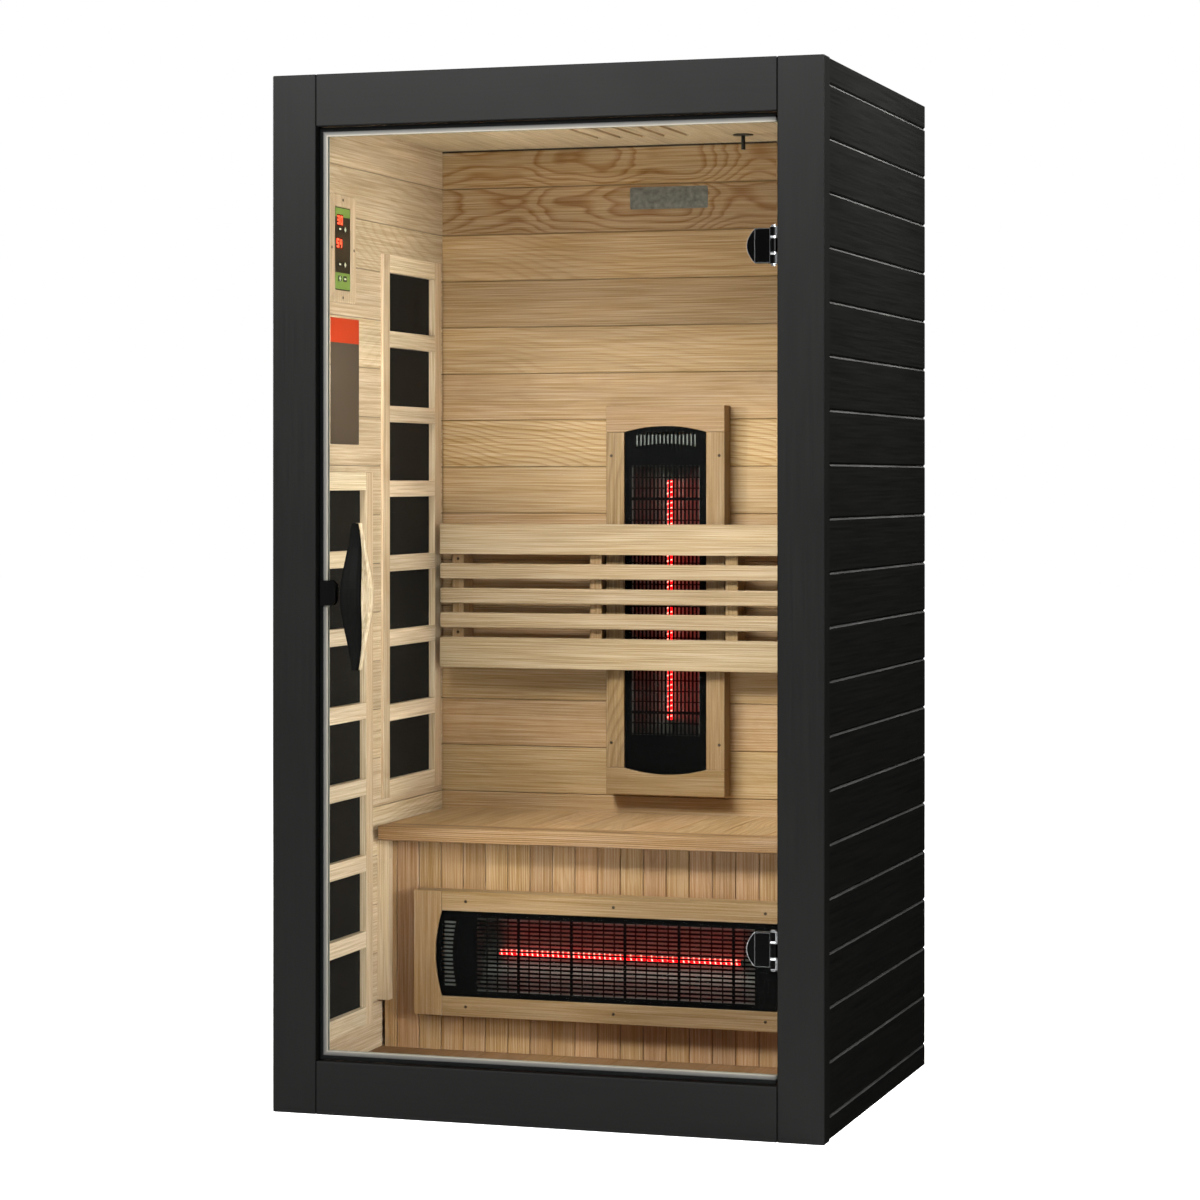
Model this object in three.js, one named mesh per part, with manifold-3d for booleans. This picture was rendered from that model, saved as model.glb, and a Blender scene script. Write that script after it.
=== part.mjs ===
// One-person infrared sauna cabin: a black painted timber cabin, lined with pale softwood, with a glass door.
// Millimetres, +Z up. The origin is on the floor under the middle of the cabin, and the front looks along -Y.
import * as THREE from 'three';
import { mergeVertices } from 'three/addons/utils/BufferGeometryUtils.js';
import loadManifold from 'manifold-3d';

// Cabin outside
const cabinWidth = 1040;
const cabinDepth = 855;
const cabinHeight = 1900;
const seatGap = 0.3; // clearance between pieces that rest on each other

// Front frame
const frontThickness = 40;
const stileWidth = 85;
const topRailHeight = 95;
const bottomRailHeight = 97;
const stileOverhang = 5; // the stile's outer face stands this far outside the side wall
const frameEdge = 1.5; // broken edges of the front frame

// Walls
const claddingThickness = 10;
const sideLiningThickness = 12;
const backLiningThickness = 22;
const boardPitch = 95.5;
const lowestBoardJoint = 40.5;
const outerGrooveWidth = 7;
const outerGrooveDepth = 3;
const innerGrooveWidth = 4;
const innerGrooveDepth = 2;

// Floor, ceiling and roof
const floorThickness = 45;
const ceilingDrop = 62; // from the cabin's top edge to the underside of the ceiling
const ceilingThickness = 12;
const roofPanelThickness = 8;
const roofRimWidth = 25;
const ventSlots = 5;
const ventPitch = 46;
const ventSlotWidth = 12;
const ventSlotLength = 230;
const ventSlotDepth = 8;
const ventCentreX = -12;
const ventCentreY = 137;
const controlBoxWidth = 260;
const controlBoxDepth = 180;
const controlBoxHeight = 20;
const controlBoxFlange = 15;
const controlBoxFlangeThickness = 3;
const glandRadius = 8;
const glandNutRadius = 12;
const glandNutHeight = 6;
const glandCapHeight = 7;
const glandInset = 70; // from the back face of the cabin
const sensorX = 190;
const sensorFromBack = 145;
const sensorPlateRadius = 20;
const sensorPlateThickness = 2;
const sensorRadius = 4;
const sensorLength = 30;

// Glass door and its seal
const glassThickness = 8;
const glassEdge = 1;
const glassBehindKnuckle = 2; // from the back of the hinge knuckle to the face of the glass
const hingeSideGap = 1.2; // from the edge of the glass to the fixed leaf
const sealRunningGap = 1.7; // from the seal to the doorway
const sealLip = 14;
const sealWall = 1;
const sealBase = 2;
const sealEndInset = 2;

// Hinges
const upperHingeBelowGlassTop = 231.5;
const lowerHingeHeight = 335;
const hingeHeight = 66;
const middleKnuckle = 26;
const knuckleRadius = 6.5;
const knuckleBite = 1.3; // overlap of the knuckle and the fixed leaf
const knuckleGap = 0.5;
const pinRadius = 3;
const pinHeadRadius = 5;
const pinHeadHeight = 2.5;
const leafThickness = 2.5;
const leafDepth = 29;
const clampWidth = 50;
const clampHeight = 61;
const clampNose = 15; // how far the round end of the clamp bulges
const clampPlate = 4.2;
const clampBlockWidth = 29;
const clampBlockRise = 3.5;
const clampBlockInset = 6; // from the hinge end of the clamp
const clampBoltRadius = 4;
const clampBoltSpacing = 32;
const clampBoltInset = 22;
const boltClearance = 0.6;

// Door catch
const catchHeight = 952;
const catchWidth = 30;
const catchLength = 46;
const catchPlate = 3;
const catchChamfer = 7;
const catchBoltRadius = 3;
const catchBoltBeyondSeal = 8;
const magnetWidth = 22;
const magnetLength = 40;
const magnetDepth = 10;

// Door handles
const handleHeight = 946;
const handleLength = 268;
const handleFromGlassEdge = 70;
const handleWidth = 40;
const handleEndWidth = 12;
const handleGrip = 19; // finger room behind the middle of the handle
const handleThickness = 20;
const handleEndThickness = 12;
const handlePad = 0.16; // share of each half that lies on the glass
const handleBoltRadius = 3;
const handleBoltInset = 14;
const handleBoltDepth = 7;

// Bench
const benchHeight = 484;
const benchThickness = 28;
const benchDepth = 399;
const benchSideGap = 13;
const benchEdge = 3;
const benchPanelSetback = 52;
const benchPanelThickness = 12;
const benchPanelSideGap = 8;
const benchBoardPitch = 46;
const supportWidth = 24;
const stopDepth = 21.5;
const cleatHeight = 40;
const stopBottom = 140;

// Backrest
const backrestAboveBench = 293;
const backrestStandOff = 73; // from the back wall to the face of the slats
const slatThickness = 16;
const wideSlat = 62;
const narrowSlat = 31;
const slatGap = 19;
const slatSideGap = 21;
const slatEdge = 2;
const battenWidth = 26;
const outerBattenInset = 34;
const battenHeaterGap = 5;

// Heaters with glowing tubes, one upright behind the backrest and one lying in front of the bench panel
const heaterDepth = 45;
const heaterFrameEdge = 2;
const grilleSetback = 4;
const grilleThickness = 1.5;
const grilleClearance = 0.5;
const grilleBar = 3;
const grilleGapsLong = 10;
const grilleGapsShort = 4;
const heaterVents = 16;
const heaterVentPitch = 8.1;
const heaterVentWidth = 4.2;
const heaterVentLength = 24;
const heaterVentRim = 11;
const troughHalfWidth = 70;
const troughFlange = 8;
const troughDepth = 48;
const troughSheet = 1.2;
const troughClearance = 1.5;
const tubeSetback = 36; // from the grille to the middle of the tube
const tubeRadius = 5.5;
const tubeGlowLength = 486;
const tubeCapRadius = 7.5;
const tubeCapLength = 24;
const tubeStubRadius = 4;
const tubeStubLength = 6;
const backHeaterLength = 784;
const backHeaterWidth = 248;
const backHeaterHeight = 917; // height of its middle
const backOpeningLength = 677;
const backOpeningWidth = 172;
const backGrilleLength = 542;
const backGrilleWidth = 150;
const backOpeningArch = 12;
const calfHeaterLength = 814;
const calfHeaterWidth = 242;
const calfHeaterHeight = 240;
const calfOpeningLength = 700;
const calfOpeningWidth = 166;
const calfGrilleLength = 560;
const calfGrilleWidth = 148;
const calfOpeningArch = 13;

// Carbon heating panels in the side walls
const panelFrontMargin = 55;
const panelMiddleMargin = 56;
const panelBackMargin = 22;
const panelStile = 35;
const panelRail = 32;
const panelEndRail = 35;
const panelOpenings = 7;
const panelOpeningHeight = 116;
const panelProud = 5;
const panelFit = 0.5;
const carbonThickness = 2.5;
const carbonInset = 6;
const rearPanelAboveBench = 47;
const frontPanelAboveFloor = 55;

// Control panel on the left wall
const controlBelowCeiling = 239;
const bezelWidth = 132;
const bezelHeight = 206;
const bezelProud = 8;
const bezelCorner = 8;
const bezelEdge = 1.5;
const displayWidth = 78;
const displayHeight = 157;
const displayCorner = 3;
const displaySetback = 1;
const displayFit = 0.4;
const keyWidth = 16;
const keyHeight = 11;
const keyCorner = 2;
const keyFit = 0.3;
const keyProud = 1;
const keyTravel = 0.8;
const keyPocketDepth = 4;
const keyColumnOffset = 13;
const keyColumnShift = -2;
const upperKeyRow = 37;
const middleKeyRow = -30;
const lowerKeyRow = -57;

// Places that follow from the sizes
const frontFace = -cabinDepth / 2;
const frontBack = frontFace + frontThickness;
const backFace = cabinDepth / 2;
const sideFace = cabinWidth / 2 - stileOverhang;
const sideCavity = sideFace - claddingThickness;
const sideInner = sideCavity - sideLiningThickness;
const backCavity = backFace - claddingThickness;
const backInner = backCavity - backLiningThickness;
const wallFront = frontBack + seatGap;
const doorwayHalf = cabinWidth / 2 - stileWidth;
const doorwayTop = cabinHeight - topRailHeight;
const ceilingUnder = cabinHeight - ceilingDrop;
const ceilingTop = ceilingUnder + ceilingThickness;
const roofVoidTop = ceilingTop + seatGap + controlBoxHeight + 2 * seatGap;
const roofTop = roofVoidTop + roofPanelThickness;
const hingeX = doorwayHalf - seatGap - leafThickness - knuckleRadius + knuckleBite;
const hingeY = frontFace + knuckleRadius;
const glassFront = hingeY + knuckleRadius + glassBehindKnuckle;
const glassBack = glassFront + glassThickness;
const glassRight = doorwayHalf - seatGap - leafThickness - hingeSideGap;
const sealReach = seatGap + sealBase + sealRunningGap;
const glassLeft = -doorwayHalf + sealReach;
const glassTop = doorwayTop - sealReach;
const glassBottom = bottomRailHeight + sealReach;
const handleX = glassLeft + handleFromGlassEdge;
const benchFront = backInner - benchDepth;
const benchUnder = benchHeight - benchThickness;
const benchPanelFace = benchFront + benchPanelSetback;
const benchPanelBack = benchPanelFace + benchPanelThickness;
const slatFace = backInner - backrestStandOff;
const slatBack = slatFace + slatThickness;
const slatHalf = sideInner - slatSideGap;
const backrestBottom = benchHeight + backrestAboveBench;
const wallDepth = backInner - frontBack;
const panelWidth = (wallDepth - panelFrontMargin - panelMiddleMargin - panelBackMargin) / 2;
const panelHeight = 2 * panelEndRail + panelOpenings * panelOpeningHeight + (panelOpenings - 1) * panelRail;
const rearPanel = { low: backInner - panelBackMargin - panelWidth, bottom: benchHeight + rearPanelAboveBench };
const frontPanel = { low: frontBack + panelFrontMargin, bottom: floorThickness + frontPanelAboveFloor };
const controlY = frontPanel.low + panelWidth / 2;
const controlZ = ceilingUnder - controlBelowCeiling;

// Finishes
const paint = new THREE.MeshStandardMaterial({ color: '#2a2928', roughness: 0.5 });
const softwood = new THREE.MeshStandardMaterial({ color: '#c9ab7e', roughness: 0.6 });
const carbon = new THREE.MeshStandardMaterial({ color: '#232323', roughness: 0.8 });
const blackSteel = new THREE.MeshStandardMaterial({ color: '#141414', roughness: 0.45, metalness: 0.6 });
const glossBlack = new THREE.MeshStandardMaterial({ color: '#0c0c0c', roughness: 0.15, metalness: 0.4 });
const aluminium = new THREE.MeshStandardMaterial({ color: '#c8c8c6', roughness: 0.25, metalness: 1 });
const quartz = new THREE.MeshStandardMaterial({ color: '#d83020', roughness: 0.2 });
const plastic = new THREE.MeshStandardMaterial({ color: '#1d1c1a', roughness: 0.4 });
const keyPlastic = new THREE.MeshStandardMaterial({ color: '#5b7a3d', roughness: 0.45 });
const vinyl = new THREE.MeshStandardMaterial({ color: '#b9bab4', roughness: 0.35, transparent: true, opacity: 0.6 });
const glass = new THREE.MeshStandardMaterial({ color: '#dfe8e4', roughness: 0.05, transparent: true, opacity: 0.25 });

// Solids: joining and cutting
const wasm = await loadManifold();
wasm.setup();
const weldDistance = 1e-4;
const roundSides = 16;

function toSolid(geometry) {
  const bare = new THREE.BufferGeometry();
  bare.setAttribute('position', geometry.getAttribute('position'));
  if (geometry.index) bare.setIndex(geometry.index);
  const welded = mergeVertices(bare, weldDistance);
  const vertProperties = Float32Array.from(welded.getAttribute('position').array);
  const triVerts = Uint32Array.from(welded.index.array);
  return new wasm.Manifold(new wasm.Mesh({ numProp: 3, vertProperties, triVerts }));
}

function toGeometry(solid) {
  const mesh = solid.getMesh();
  const geometry = new THREE.BufferGeometry();
  geometry.setAttribute('position', new THREE.BufferAttribute(mesh.vertProperties, 3));
  geometry.setIndex(new THREE.BufferAttribute(mesh.triVerts, 1));
  return geometry;
}

function join(...pieces) {
  return toGeometry(pieces.map(toSolid).reduce((whole, piece) => whole.add(piece)));
}

function cut(piece, ...tools) {
  return toGeometry(tools.map(toSolid).reduce((whole, tool) => whole.subtract(tool), toSolid(piece)));
}

// Shapes: a flat outline in two axes is carried along the third one
const axisX = new THREE.Vector3(1, 0, 0);
const axisY = new THREE.Vector3(0, 1, 0);
const axisZ = new THREE.Vector3(0, 0, 1);
const planes = {
  xy: (low) => new THREE.Matrix4().setPosition(0, 0, low),
  xz: (low, high) => new THREE.Matrix4().makeBasis(axisX, axisZ, axisY.clone().negate()).setPosition(0, high, 0),
  yz: (low) => new THREE.Matrix4().makeBasis(axisY, axisZ, axisX).setPosition(low, 0, 0),
};

function path(points, kind) {
  return new kind(points.map(([u, v]) => new THREE.Vector2(u, v)));
}

function prism(plane, outline, low, high, holes = [], edge = 0) {
  const shape = path(outline, THREE.Shape);
  shape.holes = holes.map((hole) => path(hole, THREE.Path));
  const geometry = new THREE.ExtrudeGeometry(shape, {
    depth: high - low - 2 * edge,
    bevelEnabled: edge > 0,
    bevelThickness: edge,
    bevelSize: edge,
    bevelOffset: -edge,
    bevelSegments: 1,
  });
  geometry.translate(0, 0, edge);
  geometry.applyMatrix4(planes[plane](low, high));
  return geometry;
}

function rectangle([u0, u1], [v0, v1], corner = 0) {
  if (corner === 0) return [[u0, v0], [u1, v0], [u1, v1], [u0, v1]];
  return [
    [u0 + corner, v0], [u1 - corner, v0], [u1, v0 + corner], [u1, v1 - corner],
    [u1 - corner, v1], [u0 + corner, v1], [u0, v1 - corner], [u0, v0 + corner],
  ];
}

function roundedRectangle([u0, u1], [v0, v1], corner) {
  const steps = 3;
  const centres = [[u1 - corner, v1 - corner], [u0 + corner, v1 - corner], [u0 + corner, v0 + corner], [u1 - corner, v0 + corner]];
  return centres.flatMap(([u, v], quarter) => Array.from({ length: steps + 1 }, (_, step) => {
    const angle = (quarter + step / steps) * Math.PI / 2;
    return [u + corner * Math.cos(angle), v + corner * Math.sin(angle)];
  }));
}

// A straight-sided block between two places on each axis, with its edges broken along its longest side
function block(x, y, z, edge = 0) {
  const lengths = [x[1] - x[0], y[1] - y[0], z[1] - z[0]];
  const longest = lengths.indexOf(Math.max(...lengths));
  if (longest === 0) return prism('yz', rectangle(y, z, edge), ...x, [], edge);
  if (longest === 1) return prism('xz', rectangle(x, z, edge), ...y, [], edge);
  return prism('xy', rectangle(x, y, edge), ...z, [], edge);
}

// A round bar from low to high along one axis, with its middle at the given place on the other two
function rod(axis, [u, v], radius, low, high, sides = roundSides) {
  const geometry = new THREE.CylinderGeometry(radius, radius, high - low, sides);
  const middle = (low + high) / 2;
  const turns = {
    x: new THREE.Matrix4().makeBasis(axisY, axisX, axisZ.clone().negate()).setPosition(middle, u, v),
    y: new THREE.Matrix4().setPosition(u, middle, v),
    z: new THREE.Matrix4().makeBasis(axisX, axisZ, axisY.clone().negate()).setPosition(u, v, middle),
  };
  geometry.applyMatrix4(turns[axis]);
  return geometry;
}

// A skin over rings of points that climb along +Z, each ring anticlockwise seen from above
function loft(rings) {
  const count = rings[0].length;
  const middle = (ring) => [0, 1, 2].map((axis) => ring.reduce((sum, point) => sum + point[axis], 0) / count);
  const positions = [...rings.flat(), middle(rings[0]), middle(rings.at(-1))];
  const lowMiddle = positions.length - 2;
  const highMiddle = positions.length - 1;
  const top = (rings.length - 1) * count;
  const faces = [];
  for (let side = 0; side < count; side += 1) {
    const next = (side + 1) % count;
    faces.push(lowMiddle, next, side);
    faces.push(highMiddle, top + side, top + next);
    for (let start = 0; start < top; start += count) {
      faces.push(start + side, start + next, start + count + next);
      faces.push(start + side, start + count + next, start + count + side);
    }
  }
  const geometry = new THREE.BufferGeometry();
  geometry.setAttribute('position', new THREE.Float32BufferAttribute(positions.flat(), 3));
  geometry.setIndex(faces);
  return geometry;
}

const cabin = new THREE.Group();
const door = new THREE.Group();
cabin.add(door);

function place(group, name, geometry, material) {
  const mesh = new THREE.Mesh(geometry, material);
  mesh.name = name;
  group.add(mesh);
}

const around = (middle, length) => [middle - length / 2, middle + length / 2];
const grown = ([low, high], margin) => [low - margin, high + margin];
const mirrored = ([low, high]) => [-high, -low];
const sideways = (side, range) => (side < 0 ? mirrored(range) : range);

// Front frame: two stiles over the full height, with the rails between them
function frontFrame() {
  const stile = [doorwayHalf, cabinWidth / 2];
  const between = grown(around(0, 2 * doorwayHalf), -seatGap);
  const thickness = [frontFace, frontBack];
  place(cabin, 'left_stile', block(mirrored(stile), thickness, [0, cabinHeight], frameEdge), paint);
  place(cabin, 'right_stile', block(stile, thickness, [0, cabinHeight], frameEdge), paint);
  place(cabin, 'top_rail', block(between, thickness, [doorwayTop, cabinHeight], frameEdge), paint);
  place(cabin, 'bottom_rail', block(between, thickness, [0, bottomRailHeight], frameEdge), paint);
}

// A boarded wall seen end on: a flat back, and a V groove in the face at each joint between boards
function boards(back, face, low, high, grooveWidth, grooveDepth) {
  const inward = Math.sign(back - face);
  const outline = [[back, low], [face, low]];
  for (let joint = lowestBoardJoint; joint < high - grooveWidth; joint += boardPitch) {
    if (joint < low + grooveWidth) continue;
    outline.push([face, joint - grooveWidth / 2]);
    outline.push([face + inward * grooveDepth, joint]);
    outline.push([face, joint + grooveWidth / 2]);
  }
  outline.push([face, high], [back, high]);
  return outline;
}

function claddings() {
  const along = [wallFront, backFace];
  const groove = [outerGrooveWidth, outerGrooveDepth];
  for (const [name, side] of [['left_cladding', -1], ['right_cladding', 1]]) {
    const outline = boards(side * sideCavity, side * sideFace, 0, cabinHeight, ...groove);
    place(cabin, name, prism('xz', outline, ...along), paint);
  }
  const across = around(0, 2 * (sideCavity - seatGap));
  const outline = boards(backCavity, backFace, 0, cabinHeight, ...groove);
  place(cabin, 'back_cladding', prism('yz', outline, ...across), paint);
}

const panelBoxes = [rearPanel, frontPanel].map(({ low, bottom }) => ({
  y: [low, low + panelWidth],
  z: [bottom, bottom + panelHeight],
}));

function linings() {
  const low = floorThickness + seatGap;
  const high = ceilingUnder - seatGap;
  const groove = [innerGrooveWidth, innerGrooveDepth];
  for (const [name, side] of [['left_lining', -1], ['right_lining', 1]]) {
    const outline = boards(side * (sideCavity - seatGap), side * sideInner, low, high, ...groove);
    const wall = prism('xz', outline, wallFront, backInner - seatGap);
    const through = sideways(side, grown([sideInner, sideCavity], 1));
    const openings = panelBoxes.map(({ y, z }) => block(through, grown(y, panelFit), grown(z, panelFit)));
    place(cabin, name, cut(wall, ...openings), softwood);
  }
  const across = around(0, 2 * (sideCavity - seatGap));
  const outline = boards(backCavity - seatGap, backInner, low, high, ...groove);
  const trough = troughSpace(backGrilleLength);
  const opening = block(
    around(0, trough.width), grown([backInner, backCavity], 1), around(backHeaterHeight, trough.length));
  place(cabin, 'back_lining', cut(prism('yz', outline, ...across), opening), softwood);
}

// Floor, ceiling and roof lie between the claddings
function floorAndRoof() {
  const across = around(0, 2 * (sideCavity - seatGap));
  const along = [wallFront, backCavity - seatGap];
  place(cabin, 'floor_panel', block(across, along, [0, floorThickness]), softwood);

  const slots = Array.from({ length: ventSlots }, (_, slot) => {
    const x = ventCentreX + (slot - (ventSlots - 1) / 2) * ventPitch;
    const under = [ceilingUnder - 1, ceilingUnder + ventSlotDepth];
    return block(around(x, ventSlotWidth), around(ventCentreY, ventSlotLength), under);
  });
  const ceiling = block(across, along, [ceilingUnder, ceilingTop]);
  place(cabin, 'ceiling_panel', cut(ceiling, ...slots), softwood);

  const cover = block(across, along, [ceilingTop + seatGap, roofTop]);
  const hollow = block(grown(across, -roofRimWidth), grown(along, -roofRimWidth), [ceilingTop, roofVoidTop]);
  const glandY = backFace - glandInset;
  const glandHole = rod('z', [0, glandY], glandRadius + seatGap, roofVoidTop - 1, roofTop + 1);
  place(cabin, 'roof_cover', cut(cover, hollow, glandHole), paint);

  const boxLow = ceilingTop + seatGap;
  const boxX = around(0, controlBoxWidth);
  const boxY = around(0, controlBoxDepth);
  const casing = block(boxX, boxY, [boxLow, boxLow + controlBoxHeight], frameEdge);
  const flange = block(grown(boxX, controlBoxFlange), boxY, [boxLow, boxLow + controlBoxFlangeThickness]);
  place(cabin, 'control_box', join(casing, flange), plastic);

  const nutLow = roofTop + seatGap;
  const nutTop = nutLow + glandNutHeight;
  const stem = rod('z', [0, glandY], glandRadius, roofVoidTop, nutTop);
  const nut = rod('z', [0, glandY], glandNutRadius, nutLow, nutTop, 6);
  const cap = rod('z', [0, glandY], glandRadius, nutTop - 1, nutTop + glandCapHeight);
  place(cabin, 'cable_gland', join(stem, nut, cap), plastic);

  const sensorAt = [sensorX, backInner - sensorFromBack];
  const plateLow = ceilingUnder - seatGap - sensorPlateThickness;
  const plate = rod('z', sensorAt, sensorPlateRadius, plateLow, ceilingUnder - seatGap);
  const probe = rod('z', sensorAt, sensorRadius, ceilingUnder - sensorLength, plateLow + sensorPlateThickness / 2, 12);
  place(cabin, 'temperature_sensor', join(plate, probe), plastic);
}

// Ladder frames that hold the carbon sheets in openings of the side linings
function carbonPanels() {
  const sheetDepth = [sideCavity - seatGap - carbonThickness, sideCavity - seatGap];
  const frameDepth = [sideInner - panelProud, sheetDepth[0] - seatGap];
  for (const [sideName, side] of [['left', -1], ['right', 1]]) {
    for (const [index, name] of ['rear', 'front'].entries()) {
      const { y, z } = panelBoxes[index];
      const openings = Array.from({ length: panelOpenings }, (_, row) => {
        const bottom = z[0] + panelEndRail + row * (panelOpeningHeight + panelRail);
        return rectangle(grown(y, -panelStile), [bottom, bottom + panelOpeningHeight]);
      });
      const ladder = prism('yz', rectangle(y, z), ...sideways(side, frameDepth), openings);
      const sheet = block(sideways(side, sheetDepth), grown(y, -carbonInset), grown(z, -carbonInset));
      place(cabin, `${sideName}_${name}_panel_frame`, ladder, softwood);
      place(cabin, `${sideName}_${name}_carbon_sheet`, sheet, carbon);
    }
  }
}

// Bench: a thick board on two side supports, closed in front by a panel of narrow upright boards
function bench() {
  const benchX = around(0, 2 * (sideInner - benchSideGap));
  const top = block(benchX, [benchFront, backInner - seatGap], [benchUnder, benchHeight], benchEdge);
  place(cabin, 'bench_top', top, softwood);

  const panelHalf = sideInner - benchPanelSideGap;
  const outline = [[panelHalf, benchPanelBack], [-panelHalf, benchPanelBack], [-panelHalf, benchPanelFace]];
  const boardCount = Math.floor((panelHalf - innerGrooveWidth) / benchBoardPitch);
  for (let joint = -boardCount; joint <= boardCount; joint += 1) {
    const x = joint * benchBoardPitch;
    outline.push([x - innerGrooveWidth / 2, benchPanelFace]);
    outline.push([x, benchPanelFace + innerGrooveDepth]);
    outline.push([x + innerGrooveWidth / 2, benchPanelFace]);
  }
  outline.push([panelHalf, benchPanelFace]);
  const panel = prism('xy', outline, floorThickness + seatGap, benchUnder - seatGap);
  const panelDepth = grown([benchPanelFace, benchPanelBack], 1);
  const supportX = [sideInner - seatGap - supportWidth, sideInner - seatGap];
  const cleatZ = [benchUnder - seatGap - cleatHeight, benchUnder - seatGap];
  const notches = [-1, 1].map((side) => block(
    sideways(side, grown(supportX, seatGap)), panelDepth, grown(cleatZ, seatGap)));
  const trough = troughSpace(calfGrilleLength);
  const troughHole = block(around(0, trough.length), panelDepth, around(calfHeaterHeight, trough.width));
  place(cabin, 'bench_front_panel', cut(panel, ...notches, troughHole), softwood);

  const stopY = [benchPanelFace - seatGap - stopDepth, benchPanelFace - seatGap];
  for (const [name, side] of [['left', -1], ['right', 1]]) {
    const stop = block(sideways(side, supportX), stopY, [stopBottom, cleatZ[1]]);
    const cleat = block(sideways(side, supportX), [stopY[0], backInner - seatGap], cleatZ);
    place(cabin, `bench_support_${name}`, join(stop, cleat), softwood);
  }
}

// Backrest: two wide slats glued to four battens, with three narrow slats screwed on between them
function backrest() {
  const slatX = around(0, 2 * slatHalf);
  const slatDepth = [slatFace, slatBack - seatGap];
  const middleStep = narrowSlat + slatGap;
  const middleLow = backrestBottom + wideSlat + slatGap;
  const topLow = middleLow + 3 * middleStep;
  const topHigh = topLow + wideSlat;
  const wides = [backrestBottom, topLow].map(
    (low) => block(slatX, [slatFace, slatBack], [low, low + wideSlat], slatEdge));
  const innerBatten = backHeaterWidth / 2 + battenHeaterGap + battenWidth / 2;
  const outerBatten = slatHalf - outerBattenInset;
  const battenX = [-outerBatten, -innerBatten, innerBatten, outerBatten];
  const battens = battenX.map((x) => {
    const behind = block(around(x, battenWidth), [slatBack, backInner - seatGap], [backrestBottom, topHigh]);
    const glued = [backrestBottom, topLow].map((low) => block(
      around(x, battenWidth), [slatBack - slatEdge, slatBack + slatEdge], grown([low, low + wideSlat], -slatEdge)));
    return join(behind, ...glued);
  });
  place(cabin, 'backrest_frame', join(...wides, ...battens), softwood);
  for (const [row, name] of ['lower', 'middle', 'upper'].entries()) {
    const low = middleLow + row * middleStep;
    const slat = block(slatX, slatDepth, [low, low + narrowSlat], slatEdge);
    place(cabin, `backrest_slat_${name}`, slat, softwood);
  }
}

// The space that a reflector takes behind its grille
function troughSpace(grilleLength) {
  return {
    length: grilleLength + 2 * (troughSheet + troughClearance),
    width: 2 * (troughHalfWidth + troughFlange + troughClearance),
  };
}

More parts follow.
